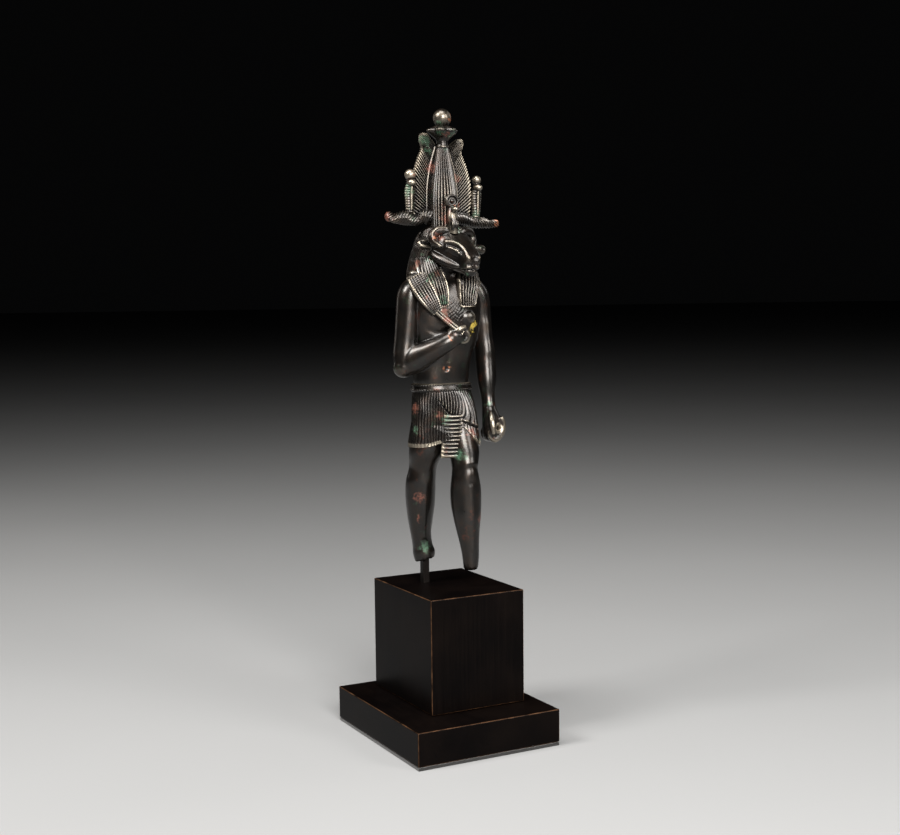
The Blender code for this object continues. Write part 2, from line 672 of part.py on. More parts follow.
def build_mount(figure):
    """The rod between block and leg, with its two seats."""
    x = figure.location.x + RIGHT_LEG[-1][1] * UNIT
    y = figure.location.y + RIGHT_LEG[-1][2] * UNIT
    top = FIGURE_BASE + BREAK_HEIGHT * UNIT + ROD_IN_LEG
    foot = BLOCK_TOP - ROD_SEAT_DEPTH
    rod = box("mount_rod", (x, y, (top + foot) / 2), (ROD_SIDE, ROD_SIDE, top - foot))
    rod.data.materials.append(material(BLACK_STEEL))
    seat = ROD_SIDE + 2 * FIT_GAP
    below, above = foot - SEAT_END_GAP, top + SEAT_END_GAP
    split = (BLOCK_TOP + FIGURE_BASE) / 2
    leg_cutter = box("leg_socket_cutter", (x, y, (split + above) / 2), (seat, seat, above - split))
    block_cutter = box("block_socket_cutter", (x, y, (below + split) / 2), (seat, seat, split - below))
    cut(figure, leg_cutter)
    return block_cutter


def build_base(block_cutter):
    block = box("block", (BLOCK_SHIFT_X, BLOCK_SHIFT_Y, BLOCK_BASE + BLOCK_HEIGHT / 2),
                (BLOCK_WIDTH, BLOCK_DEPTH, BLOCK_HEIGHT))
    soften(block, ARRIS)
    cut(block, block_cutter)
    block.data.materials.append(material(DARK_BASE))
    plinth = box("plinth", (0, 0, PAD_THICKNESS + FIT_GAP + PLINTH_HEIGHT / 2),
                 (PLINTH_WIDTH, PLINTH_DEPTH, PLINTH_HEIGHT))
    soften(plinth, ARRIS)
    plinth.data.materials.append(material(DARK_BASE))
    pad = box("base_pad", (0, 0, PAD_THICKNESS / 2),
              (PLINTH_WIDTH - 2 * PAD_INSET, PLINTH_DEPTH - 2 * PAD_INSET, PAD_THICKNESS))
    pad.data.materials.append(material(FELT))


clear_scene()
build_base(build_mount(build_figure()))
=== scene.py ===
import math

import bpy
import numpy as np
from mathutils import Matrix, Vector


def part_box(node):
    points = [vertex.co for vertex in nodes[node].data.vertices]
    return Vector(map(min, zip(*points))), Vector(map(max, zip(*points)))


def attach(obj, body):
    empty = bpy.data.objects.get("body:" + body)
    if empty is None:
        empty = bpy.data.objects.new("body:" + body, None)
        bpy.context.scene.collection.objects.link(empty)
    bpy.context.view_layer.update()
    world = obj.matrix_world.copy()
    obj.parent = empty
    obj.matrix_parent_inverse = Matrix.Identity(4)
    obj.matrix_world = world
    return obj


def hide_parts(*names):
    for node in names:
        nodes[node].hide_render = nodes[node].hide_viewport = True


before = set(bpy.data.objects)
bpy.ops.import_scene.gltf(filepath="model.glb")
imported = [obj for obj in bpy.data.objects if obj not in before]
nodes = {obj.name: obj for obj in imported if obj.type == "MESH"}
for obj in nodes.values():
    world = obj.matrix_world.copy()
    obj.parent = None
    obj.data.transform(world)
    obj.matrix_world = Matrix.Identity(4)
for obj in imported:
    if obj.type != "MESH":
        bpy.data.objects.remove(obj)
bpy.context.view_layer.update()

print("frame loaded:", ", ".join(sorted(nodes)))

# the figure is drawn in millimetres from its own foot, on the axis of the tall block
blockLow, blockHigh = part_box("block")
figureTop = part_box("figure")[1].z
figure = {"tall": 0.201, "unit": 0.001}
castOrigin = Vector(((blockLow.x + blockHigh.x) / 2, (blockLow.y + blockHigh.y) / 2, figureTop - figure["tall"]))


camera = {
    "azimuth": -27.784, "elevation": 6.001, "roll": -0.65,  # degrees; the camera stands towards the figure's right
    "aim": 0.130, "distance": 0.60301,  # metres
    "lens": 55.016, "sensor": 36, "shiftX": 0.00787, "shiftY": 0.02922,
}


def aroundCamera(turn, lift):  # a direction, in degrees to the right of the camera and above level
    a, e = math.radians(camera["azimuth"] + turn), math.radians(lift)
    return Vector((math.sin(a) * math.cos(e), -math.cos(a) * math.cos(e), math.sin(e)))


def placeCamera():
    back = aroundCamera(0, camera["elevation"])
    a, r = math.radians(camera["azimuth"]), math.radians(camera["roll"])
    right = Vector((math.cos(a), math.sin(a), 0))
    up = back.cross(right)
    across = math.cos(r) * right + math.sin(r) * up
    upward = math.cos(r) * up - math.sin(r) * right
    made = bpy.data.objects.new("camera", bpy.data.cameras.new("camera"))
    bpy.context.scene.collection.objects.link(made)
    made.matrix_world = Matrix.Translation(Vector((0, 0, camera["aim"])) + back * camera["distance"]) @ Matrix(
        (across, upward, back)).transposed().to_4x4()
    made.data.lens = camera["lens"]
    made.data.sensor_width = camera["sensor"]
    made.data.shift_x, made.data.shift_y = camera["shiftX"], camera["shiftY"]
    made.data.clip_start = 0.01
    bpy.context.scene.camera = made


def toLinear(hexColour):
    found = []
    for i in (1, 3, 5):
        c = int(hexColour[i:i + 2], 16) / 255
        found.append(c / 12.92 if c <= 0.04045 else ((c + 0.055) / 1.055) ** 2.4)
    return (*found, 1.0)


def addNode(tree, kind, inputs=None, **settings):
    made = tree.nodes.new("ShaderNode" + kind)
    for name, value in settings.items():
        setattr(made, name, value)
    for name, value in (inputs or {}).items():
        socket = made.inputs[name]
        if isinstance(value, bpy.types.NodeSocket):
            tree.links.new(value, socket)
        else:
            socket.default_value = value
    return made


def newMaterial(name):
    made = bpy.data.materials.new(name)
    made.use_nodes = True
    tree = made.node_tree
    return made, tree, tree.nodes["Principled BSDF"], addNode(tree, "TexCoord").outputs["Object"]


def noise(tree, place, scale, detail, rough=0.5, distortion=0.0, output="Fac"):
    return addNode(tree, "TexNoise", {"Vector": place, "Scale": scale, "Detail": detail, "Roughness": rough,
                                      "Distortion": distortion}).outputs[output]


def ranged(tree, value, low, high, toLow=0.0, toHigh=1.0):
    return addNode(tree, "MapRange", {"Value": value, "From Min": low, "From Max": high, "To Min": toLow,
                                      "To Max": toHigh}).outputs[0]


def mixed(tree, factor, first, second):  # sockets 6 and 7 take the colours, and output 2 gives one
    first, second = (toLinear(colour) if isinstance(colour, str) else colour for colour in (first, second))
    return addNode(tree, "Mix", {"Factor": factor, 6: first, 7: second}, data_type="RGBA").outputs[2]


def maths(tree, operation, *values):
    return addNode(tree, "Math", dict(enumerate(values)), operation=operation).outputs[0]


def vectors(tree, operation, *values):
    return addNode(tree, "VectorMath", dict(enumerate(values)), operation=operation).outputs[0]


def raised(tree, shader, height, strength, distance):
    bump = addNode(tree, "Bump", {"Height": height, "Strength": strength, "Distance": distance}).outputs[0]
    tree.links.new(bump, shader.inputs["Normal"])


# Cast bronze, chased with a punch and a graver and buried for a long time: a thin oxide skin, near black and
# satin, that still mirrors the light in narrow warm streaks, with cuprite red and malachite green where it broke.
bronze = {
    "skin": "#1e1c1a", "skinWarm": "#261e18", "hollow": "#0f0c0a", "wornAndHighlight": "#bdb29f",
    "red": "#5e3020", "orange": "#8a4d28", "green": "#30503b", "gold": "#b09a3c",
    "metallic": 0.9, "roughness": 0.32, "wax": 0.45, "waxRoughness": 0.22,
    "mottle": 5.0, "grain": 0.45, "pit": 0.9, "dent": 3.2,  # mm; the real grain is near 0.1 mm and is drawn coarser
    "dentShare": 2.6, "bump": 0.22, "bumpHeight": 0.00012, "bloom": 0.55,
}
# where the other colours lie on the figure, in its own millimetres, and how far each reaches
patches = {
    "red": [
        (-2.8, -7.4, 154, 3.6), (-1.2, -5.0, 159.5, 2.6), (-5.5, 0.7, 176, 3.4), (-14, -1.3, 172.5, 2.2),
        (7.4, 0.2, 171, 3.0),
        (-6.2, -7.9, 145.7, 2.6), (-14.8, -0.6, 134.5, 3.6), (-13.5, -9.0, 119, 2.6), (-5.3, -9.4, 113.8, 3.0),
        (-5.6, -13.4, 110.2, 3.4), (-14.8, 0.2, 71.6, 3.4), (-7.2, -7.4, 68.4, 2.8), (7.2, -12.6, 61.0, 3.2),
        (11.0, -8.0, 60.0, 2.2), (-12.1, 1.9, 31.5, 3.0), (-12.6, 3.0, 22, 2.0), (10.3, -12.6, 23, 3.2),
        (-27.0, 1.2, 154.6, 3.4),
        (-0.5, -3.6, 190.5, 2.4), (-6.0, -7.6, 136.4, 2.4), (6.6, 0.8, 160.5, 2.4), (-9.6, -8.5, 122.0, 2.2),
    ],
    "orange": [(27.4, 1.2, 152.4, 2.6), (-5.3, -14.8, 102.4, 1.2), (-2.7, -7.4, 88.9, 1.7), (2.8, -2.0, 196.4, 2.4),
               (-8.9, -8.4, 145.4, 1.7), (0.5, -8.3, 158.6, 1.6)],
    "green": [
        (-8.4, 0.8, 187.4, 3.2), (-6.6, 0.8, 182.4, 2.0), (-3.4, -4.4, 190.2, 2.0), (3.0, -4.6, 189.8, 2.6),
        (-5.9, -11.0, 118.6, 2.6),
        (16.8, 0.2, 156.6, 2.6), (1.4, -18.6, 129.2, 1.7), (1.2, -11.0, 50.6, 3.4), (13.4, -6.0, 65.6, 2.8),
        (17.2, -8.0, 73.3, 2.2),
        (-8.6, 4.5, 8.4, 3.4), (-2.0, -0.8, 194.2, 2.0), (-13.2, -3.0, 138.4, 2.2), (-15.2, -0.3, 62.4, 2.4),
        (-4.4, -9.9, 67.4, 2.6),
        (-17, -0.3, 165.8, 3.2), (-10.6, -8.2, 126.0, 2.2), (-9.4, -5.0, 136.0, 1.6), (17.8, 1.6, 164.6, 2.4),
        (12.0, 8.0, 66.0, 3.2),
        (-6.0, 11.6, 118.0, 3.6), (6.0, 13.0, 140.0, 3.4),
    ],
    "gold": [(10.4, -8.4, 106.4, 3.2), (8.6, -8.9, 103.7, 2.2), (12.0, -7.4, 108.0, 2.0)],
}


def makeBronze():
    made, tree, shader, place = newMaterial("cast_bronze_dark_patina")
    link = tree.links.new
    mm = vectors(tree, "ADD", place, -castOrigin)
    mm = addNode(tree, "VectorMath", {0: mm, "Scale": 1 / figure["unit"]}, operation="SCALE").outputs[0]
    mottle = noise(tree, mm, 1 / bronze["mottle"], 5, 0.62)
    fleck = noise(tree, mm, 1.1, 4, 0.7)
    grain = noise(tree, mm, 1 / bronze["grain"], 3, 0.6)
    edge = addNode(tree, "Attribute", attribute_name="relief").outputs["Fac"]
    warm = ranged(tree, mottle, 0.42, 0.66)
    colour = mixed(tree, warm, bronze["skin"], bronze["skinWarm"])
    hollow = ranged(tree, edge, -0.02, -0.08)
    # crests are painted pale: partly the wear of handling, partly a painted highlight on every ridge
    crestWearAndHighlight = ranged(tree, edge, 0.07, 0.2, 0, 0.42)
    # the patches have wandering edges, because each point is looked up a little away from where it is
    drift = noise(tree, mm, 0.42, 5, 0.65, output="Color")
    drift = vectors(tree, "SUBTRACT", drift, (0.5, 0.5, 0.5))
    drift = vectors(tree, "MULTIPLY_ADD", drift, (9, 9, 9), mm)
    spoiled = None  # how much of the skin is broken, whatever the colour
    for kind in ("red", "orange", "green", "gold"):
        reach = None
        for x, y, z, radius in patches[kind]:
            far = addNode(tree, "VectorMath", {0: drift, 1: (x, y, z)}, operation="DISTANCE").outputs["Value"]
            near = ranged(tree, far, radius * 1.35, radius * 0.25)
            reach = near if reach is None else maths(tree, "MAXIMUM", reach, near)
        broken = maths(tree, "MULTIPLY", reach, fleck)
        low, high = {"gold": (0.22, 0.34)}.get(kind, (0.18, 0.50))
        mask = ranged(tree, broken, low, high, 0, 0.85)
        colour = mixed(tree, mask, colour, bronze[kind])
        spoiled = mask if spoiled is None else maths(tree, "MAXIMUM", spoiled, mask)
    # a thin red and green bloom over the whole skin, in small flecks
    for kind, offset in (("red", 31.0), ("green", 67.0)):
        shifted = vectors(tree, "ADD", mm, (offset, offset, 0))
        cloud = noise(tree, shifted, 0.16, 7, 0.72)
        mask = ranged(tree, cloud, 0.60, 0.70, 0, bronze["bloom"])
        colour = mixed(tree, mask, colour, bronze[kind])
    colour = mixed(tree, hollow, colour, bronze["hollow"])
    clean = maths(tree, "SUBTRACT", 1.0, spoiled)
    crestWearAndHighlight = maths(tree, "MULTIPLY", crestWearAndHighlight, clean)
    colour = mixed(tree, crestWearAndHighlight, colour, bronze["wornAndHighlight"])
    link(colour, shader.inputs["Base Color"])
    metal = maths(tree, "MULTIPLY_ADD", spoiled, -0.7, bronze["metallic"])
    link(metal, shader.inputs["Metallic"])
    shader.inputs["Coat Weight"].default_value = bronze["wax"]
    shader.inputs["Coat Roughness"].default_value = bronze["waxRoughness"]
    rough = ranged(tree, mottle, 0.3, 0.7, bronze["roughness"] - 0.05, bronze["roughness"] + 0.08)
    rough = maths(tree, "MULTIPLY_ADD", spoiled, 0.22, rough)
    rough = maths(tree, "MULTIPLY_ADD", hollow, 0.2, rough)
    link(rough, shader.inputs["Roughness"])
    pits = noise(tree, mm, 1 / bronze["pit"], 2, 0.5)
    pits = ranged(tree, pits, 0.30, 0.38)
    height = maths(tree, "MULTIPLY_ADD", grain, 0.5, pits)
    uneven = noise(tree, mm, 1 / bronze["dent"], 1, 0.4)
    height = maths(tree, "MULTIPLY_ADD", uneven, bronze["dentShare"], height)
    raised(tree, shader, height, bronze["bump"], bronze["bumpHeight"])
    return made


# Hardwood stained black and lacquered to a satin film: near black, with the brown of the wood in a low, warm
# sheen, a faint grain along its length, and every arris painted pale, partly as stain rubbed thin and partly as a
# painted highlight.
ebonised = {
    "stain": "#030202", "stainWarm": "#080504", "arris": "#463020", "roughness": 0.34, "gloss": 0.035,
    "grainAcross": 0.7, "grainAlong": 26.0,  # mm; real pores are 0.1 mm wide and are drawn coarser
    "rubAndGleam": 0.55,  # mm of arris painted pale: stain rubbed thin, and a painted highlight
}


def makeEbonised(name, low, high, along):
    made, tree, shader, place = newMaterial(name)
    link = tree.links.new
    middle, half = (low + high) / 2, (high - low) / 2
    local = vectors(tree, "ADD", place, -middle)
    # the second smallest distance to the box's faces is small only near an arris
    size = vectors(tree, "ABSOLUTE", local)
    inward = vectors(tree, "SUBTRACT", tuple(half), size)
    split = addNode(tree, "SeparateXYZ", {0: inward})
    x, y, z = split.outputs
    least = maths(tree, "MINIMUM", x, y)
    most = maths(tree, "MAXIMUM", x, y)
    other = maths(tree, "MINIMUM", most, z)
    second = maths(tree, "MAXIMUM", least, other)
    wander = noise(tree, place, 220, 4)
    rubAndGleam = ebonised["rubAndGleam"] / 1000
    # every arris is painted pale: partly stain rubbed thin, partly a painted highlight along the edge
    wornAndHighlight = ranged(tree, second, rubAndGleam, rubAndGleam * 0.3)
    wornAndHighlight = maths(tree, "MULTIPLY", wornAndHighlight, wander)
    wornAndHighlight = ranged(tree, wornAndHighlight, 0.25, 0.62)
    scale = [1000 / ebonised["grainAcross"]] * 3
    scale[along] = 1000 / ebonised["grainAlong"]
    stretched = vectors(tree, "MULTIPLY", local, tuple(scale))
    fibre = noise(tree, stretched, 1.0, 6, 0.6, distortion=0.25)
    cloud = noise(tree, place, 38, 3)
    tone = maths(tree, "MULTIPLY_ADD", fibre, 0.5, cloud)
    tone = ranged(tree, tone, 0.6, 0.95)
    colour = mixed(tree, tone, ebonised["stain"], ebonised["stainWarm"])
    colour = mixed(tree, wornAndHighlight, colour, ebonised["arris"])
    link(colour, shader.inputs["Base Color"])
    rough = ranged(tree, fibre, 0.3, 0.7, ebonised["roughness"] - 0.04, ebonised["roughness"] + 0.06)
    link(rough, shader.inputs["Roughness"])
    shader.inputs["Specular IOR Level"].default_value = ebonised["gloss"]
    raised(tree, shader, fibre, 0.12, 0.00006)
    return made


# Mild steel rod, blacked in hot oil: dark and a little uneven, with a dull sheen along the flats.
blackedSteel = {"dark": "#0f0d0c", "light": "#221d1a", "metallic": 0.85, "roughness": 0.42, "scale": 0.9}


def makeBlackedSteel():
    made, tree, shader, place = newMaterial("mild_steel_oil_blacked")
    drawn = vectors(tree, "MULTIPLY", place, (2600, 2600, 160))
    cloud = noise(tree, drawn, blackedSteel["scale"], 5)
    colour = mixed(tree, cloud, blackedSteel["dark"], blackedSteel["light"])
    tree.links.new(colour, shader.inputs["Base Color"])
    shader.inputs["Metallic"].default_value = blackedSteel["metallic"]
    rough = ranged(tree, cloud, 0.3, 0.7, blackedSteel["roughness"] - 0.06, blackedSteel["roughness"] + 0.08)
    tree.links.new(rough, shader.inputs["Roughness"])
    raised(tree, shader, cloud, 0.25, 0.00005)
    return made


# Pressed wool felt, dyed black: matt, with short fibres that catch a little light. Real fibres are 0.02 mm wide.
felt = {"dark": "#060606", "light": "#191817", "fibre": 0.28, "sheen": 0.25}


def makeFelt():
    made, tree, shader, place = newMaterial("pressed_wool_felt_black")
    nap = noise(tree, place, 1000 / felt["fibre"], 4, distortion=1.4)
    colour = mixed(tree, nap, felt["dark"], felt["light"])
    tree.links.new(colour, shader.inputs["Base Color"])
    shader.inputs["Roughness"].default_value = 0.95
    shader.inputs["Sheen Weight"].default_value = felt["sheen"]
    raised(tree, shader, nap, 0.6, 0.0001)
    return made


# Heavy paper rolled smooth and left uncoated: matt and pale, with a faint cloudiness of its fibres.
floor = {"pale": "#7b7c7d", "paler": "#828384", "size": 60.0, "roughness": 0.8}


def makeFloor():
    made, tree, shader, place = newMaterial("matt_pale_paper")
    cloud = noise(tree, place, 3, 3)
    colour = mixed(tree, cloud, floor["pale"], floor["paler"])
    tree.links.new(colour, shader.inputs["Base Color"])
    shader.inputs["Roughness"].default_value = floor["roughness"]
    bpy.ops.mesh.primitive_plane_add(size=floor["size"])
    plane = bpy.context.object
    plane.name = "floor"
    plane.data.materials.append(made)


# each softbox: degrees right of the camera, degrees up, metres away, width, height, watts, warmth
softboxes = {
    "front": (16, 21, 0.95, 0.42, 0.46, 20.0, "#fffcf8"),
    "left": (-62, 42, 0.90, 0.30, 0.36, 12.0, "#fffcf8"),
    "top": (-16, 70, 0.80, 0.50, 0.40, 9.0, "#fffcf8"),
    "right": (57, 22, 0.95, 0.28, 0.48, 6.0, "#fffcf8"),
    "rearLeft": (-126, 14, 1.00, 0.16, 0.46, 0.4, "#fff8f0"),
    "rearRight": (124, 30, 1.00, 0.20, 0.60, 0.8, "#fffcf8"),
}
lightAim = 0.17  # metres up: the height that every softbox is turned to
room = {"colour": "#8f9092", "strength": 0.006}


def placeLights():
    for name, (turn, lift, far, width, height, watts, warmth) in softboxes.items():
        light = bpy.data.lights.new(name, "AREA")
        light.shape = "RECTANGLE"
        light.size, light.size_y = width, height
        light.energy = watts
        light.color = toLinear(warmth)[:3]
        made = bpy.data.objects.new(name, light)
        bpy.context.scene.collection.objects.link(made)
        out = aroundCamera(turn, lift)
        made.location = Vector((0, 0, lightAim)) + out * far
        made.rotation_euler = out.to_track_quat("Z", "Y").to_euler()
    world = bpy.data.worlds.new("room")
    bpy.context.scene.world = world
    world.use_nodes = True
    back = world.node_tree.nodes["Background"]
    back.inputs["Color"].default_value = toLinear(room["colour"])
    back.inputs["Strength"].default_value = room["strength"]
    bpy.context.scene.view_settings.view_transform = "Standard"


placeCamera()
placeLights()
makeFloor()
print("camera, lights and floor placed")
bronzeSkin = makeBronze()


def coat(node, made):
    obj = nodes[node]
    for i in range(len(obj.material_slots)):
        obj.material_slots[i].material = made


coat("block", makeEbonised("hardwood_block_ebonised", *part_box("block"), 2))
coat("plinth", makeEbonised("hardwood_plinth_ebonised", *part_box("plinth"), 1))
coat("mount_rod", makeBlackedSteel())
coat("base_pad", makeFelt())
print("mount coated")


# everything below is in millimetres until a piece is cast
def spread(rows, count):  # rows of numbers, read at even steps of a smooth curve through them
    rows = np.array(rows, float)
    at = np.linspace(0, len(rows) - 1, count)
    i = np.minimum(at.astype(int), len(rows) - 2)
    t = (at - i)[:, None]
    p, q, r, s = rows[np.maximum(i - 1, 0)], rows[i], rows[i + 1], rows[np.minimum(i + 2, len(rows) - 1)]
    return 0.5 * (2 * q + (r - p) * t + (2 * p - 5 * q + 4 * r - s) * t ** 2 + (3 * q - p - 3 * r + s) * t ** 3)


def roundCurve(sides, power=2.0):  # points of a unit superellipse: 2 is a circle, more is squarer
    angle = np.arange(sides) * 2 * np.pi / sides
    c, s = np.cos(angle), np.sin(angle)
    fall = (np.abs(c) ** power + np.abs(s) ** power) ** (-1 / power)
    return angle, np.stack([c * fall, s * fall], 1)


def skin(rings):  # a closed body from rings of as many points each, as (points, faces)
    rings = np.asarray(rings, float)
    count, sides = rings.shape[:2]
    points = np.concatenate([rings.reshape(-1, 3), rings[0].mean(0)[None], rings[-1].mean(0)[None]])
    i, j = np.arange(sides), (np.arange(sides) + 1) % sides
    faces = []
    for row in range(count - 1):
        a, b = row * sides, (row + 1) * sides
        faces += np.stack([a + i, a + j, b + j, b + i], 1).tolist()
    first, last = count * sides, count * sides + 1
    top = (count - 1) * sides
    faces += [(int(b), int(a), first) for a, b in zip(i, j)]
    faces += [(top + int(a), top + int(b), last) for a, b in zip(i, j)]
    corners = points[[face[:3] for face in faces]]
    if np.linalg.det(corners - points.mean(0)).sum() < 0:
        faces = [face[::-1] for face in faces]
    return points, faces


def stack(rows, count, sides, power=2.0, wave=None):  # level rings: height, middle x and y, half width, half depth
    rows = spread(rows, count)
    angle, unit = roundCurve(sides, power)
    t = np.linspace(0, 1, count)[:, None]
    more = wave(angle[None], t, rows[:, :1]) if wave else np.zeros((count, sides))
    x = rows[:, 1:2] + unit[None, :, 0] * (rows[:, 3:4] + more)
    y = rows[:, 2:3] + unit[None, :, 1] * (rows[:, 4:5] + more)
    return skin(np.stack([x, y, np.broadcast_to(rows[:, :1], x.shape)], 2))


# along a path: point, half width along side, half depth
def tube(rows, count, sides, side=(1, 0, 0), power=2.0, wave=None):
    rows = spread(rows, count)
    points = rows[:, :3]
    along = np.gradient(points, axis=0)
    along /= np.linalg.norm(along, axis=1)[:, None]
    side = np.array(side, float)
    across = side - along * (along @ side)[:, None]
    across /= np.linalg.norm(across, axis=1)[:, None]
    deep = np.cross(along, across)
    angle, unit = roundCurve(sides, power)
    length = np.concatenate([[0], np.cumsum(np.linalg.norm(np.diff(points, axis=0), axis=1))])[:, None]
    more = wave(angle[None], np.linspace(0, 1, count)[:, None], length) if wave else np.zeros((count, sides))
    wide = unit[None, :, 0] * (rows[:, 3:4] + more)
    tall = unit[None, :, 1] * (rows[:, 4:5] + more)
    return skin(points[:, None] + across[:, None] * wide[..., None] + deep[:, None] * tall[..., None])


def ball(middle, radii, sides=32, rings=20):
    lift = np.linspace(0, np.pi, rings + 1)[1:-1, None]
    turn = (np.arange(sides) * 2 * np.pi / sides)[None]
    unit = np.stack([np.sin(lift) * np.cos(turn), np.sin(lift) * np.sin(turn), -np.cos(lift) * np.ones_like(turn)], 2)
    return skin(np.array(middle) + unit * np.array(radii))


def mirrored(rows):
    return [(-row[0], *row[1:]) for row in rows]


def ridges(angle, count, phase=0.0):  # round ridges with sharp grooves between them, from -1 to 1
    return 2 * np.abs(np.cos(count * angle / 2 + phase)) - 1


def newMesh(name, points, faces):
    mesh = bpy.data.meshes.new(name)
    mesh.from_pydata(points.tolist(), [], faces)
    obj = bpy.data.objects.new(name, mesh)
    bpy.context.scene.collection.objects.link(obj)
    return obj


def evaluated(obj):
    bpy.context.view_layer.update()
    made = bpy.data.meshes.new_from_object(obj.evaluated_get(bpy.context.evaluated_depsgraph_get()))
    made.name = obj.name
    obj.modifiers.clear()
    obj.data = made
    return obj


def fused(name, forms):  # crisp forms made one body
    first, *others = [newMesh(name if i == 0 else f"{name}_form", *form) for i, form in enumerate(forms)]
    group = bpy.data.collections.new(name + "_forms")
    for other in others:
        group.objects.link(other)
    union = first.modifiers.new("union", "BOOLEAN")
    union.operation, union.operand_type, union.collection, union.solver = "UNION", "COLLECTION", group, "MANIFOLD"
    evaluated(first)
    for other in others:
        bpy.data.objects.remove(other, do_unlink=True)
    bpy.data.collections.remove(group)
    return first


def melted(name, forms, voxel, relax):  # round forms flowed together as in wax, then smoothed
    points, faces, start = [], [], 0
    for some, sides in forms:
        points.append(some)
        faces += [[i + start for i in face] for face in sides]
        start += len(some)
    obj = newMesh(name, np.concatenate(points), faces)
    remesh = obj.modifiers.new("remesh", "REMESH")
    remesh.mode, remesh.voxel_size = "VOXEL", voxel
    smooth = obj.modifiers.new("smooth", "SMOOTH")
    smooth.iterations, smooth.factor = relax, 0.5
    return evaluated(obj)


def shifted(obj, lift):  # moves every point along its normal by lift(points)
    count = len(obj.data.vertices)
    points, normals = np.empty(count * 3), np.empty(count * 3)
    obj.data.vertices.foreach_get("co", points)
    obj.data.vertex_normals.foreach_get("vector", normals)
    points, normals = points.reshape(-1, 3), normals.reshape(-1, 3)
    obj.data.vertices.foreach_set("co", (points + normals * lift(points)[:, None]).ravel())
    obj.data.update()


def strokeLift(points, strokes):  # each stroke raises (+) or cuts (-) along a line: path, height, half width
    lift = np.zeros(len(points))
    for path, height, width in strokes:
        line = spread(path, 8 * len(path)) if len(path) > 1 else np.array(path, float)
        inside = np.all((points > line.min(0) - 3 * width) & (points < line.max(0) + 3 * width), 1).nonzero()[0]
        if len(inside):
            far = np.full(len(inside), 1e9)
            for a, b in zip(line, line[1:]) if len(line) > 1 else [(line[0], line[0] + 1e-6)]:
                along = np.clip((points[inside] - a) @ (b - a) / ((b - a) @ (b - a)), 0, 1)
                far = np.minimum(far, np.linalg.norm(points[inside] - a - along[:, None] * (b - a), axis=1))
            lift[inside] += height * np.exp(-(far / width) ** 2)
    return lift


def carve(obj, strokes):
    shifted(obj, lambda points: strokeLift(points, strokes))


relief = {"rounds": 8, "evening": 3}  # how often the surroundings are averaged, and then the result


def markRelief(obj, wearAndHighlight, axes):  # how far each point stands out, in mm: crests were worn and are also painted pale as a highlight, hollows keep their dirt
    mesh = obj.data
    count = len(mesh.vertices)
    points, normals = np.empty(3 * count), np.empty(3 * count)
    ends = np.empty(2 * len(mesh.edges), int)
    mesh.vertices.foreach_get("co", points)
    mesh.vertices.foreach_get("normal", normals)
    mesh.edges.foreach_get("vertices", ends)
    first, second = np.concatenate([ends[::2], ends[1::2]]), np.concatenate([ends[1::2], ends[::2]])
    links = np.bincount(first, minlength=count)

    def evened(values):
        return (values + np.bincount(first, values[second], minlength=count)) / (links + 1)

    proud = np.zeros(count)
    for axis in axes:
        smooth = points[axis::3]
        for _ in range(relief["rounds"]):
            smooth = evened(smooth)
        proud += (points[axis::3] - smooth) * normals[axis::3]
    for _ in range(relief["evening"]):
        proud = evened(proud)
    mesh.attributes.new("relief", "FLOAT", "POINT").data.foreach_set("value", (proud * wearAndHighlight).astype(np.float32))


def castPiece(obj, sharp=38, wearAndHighlight=1.0, axes=(0, 1, 2)):  # to metres, on the block's axis, as part of the one bronze
    markRelief(obj, wearAndHighlight, axes)
    obj.data.transform(Matrix.Translation(castOrigin) @ Matrix.Scale(figure["unit"], 4))
    obj.data.materials.clear()
    obj.data.materials.append(bronzeSkin)
    obj.data.shade_smooth()
    if sharp:
        obj.data.set_sharp_from_angle(angle=math.radians(sharp))
    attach(obj, "root")
    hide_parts("figure")
    print(f"{obj.name}: {sum(len(face.vertices) - 2 for face in obj.data.polygons)} triangles")


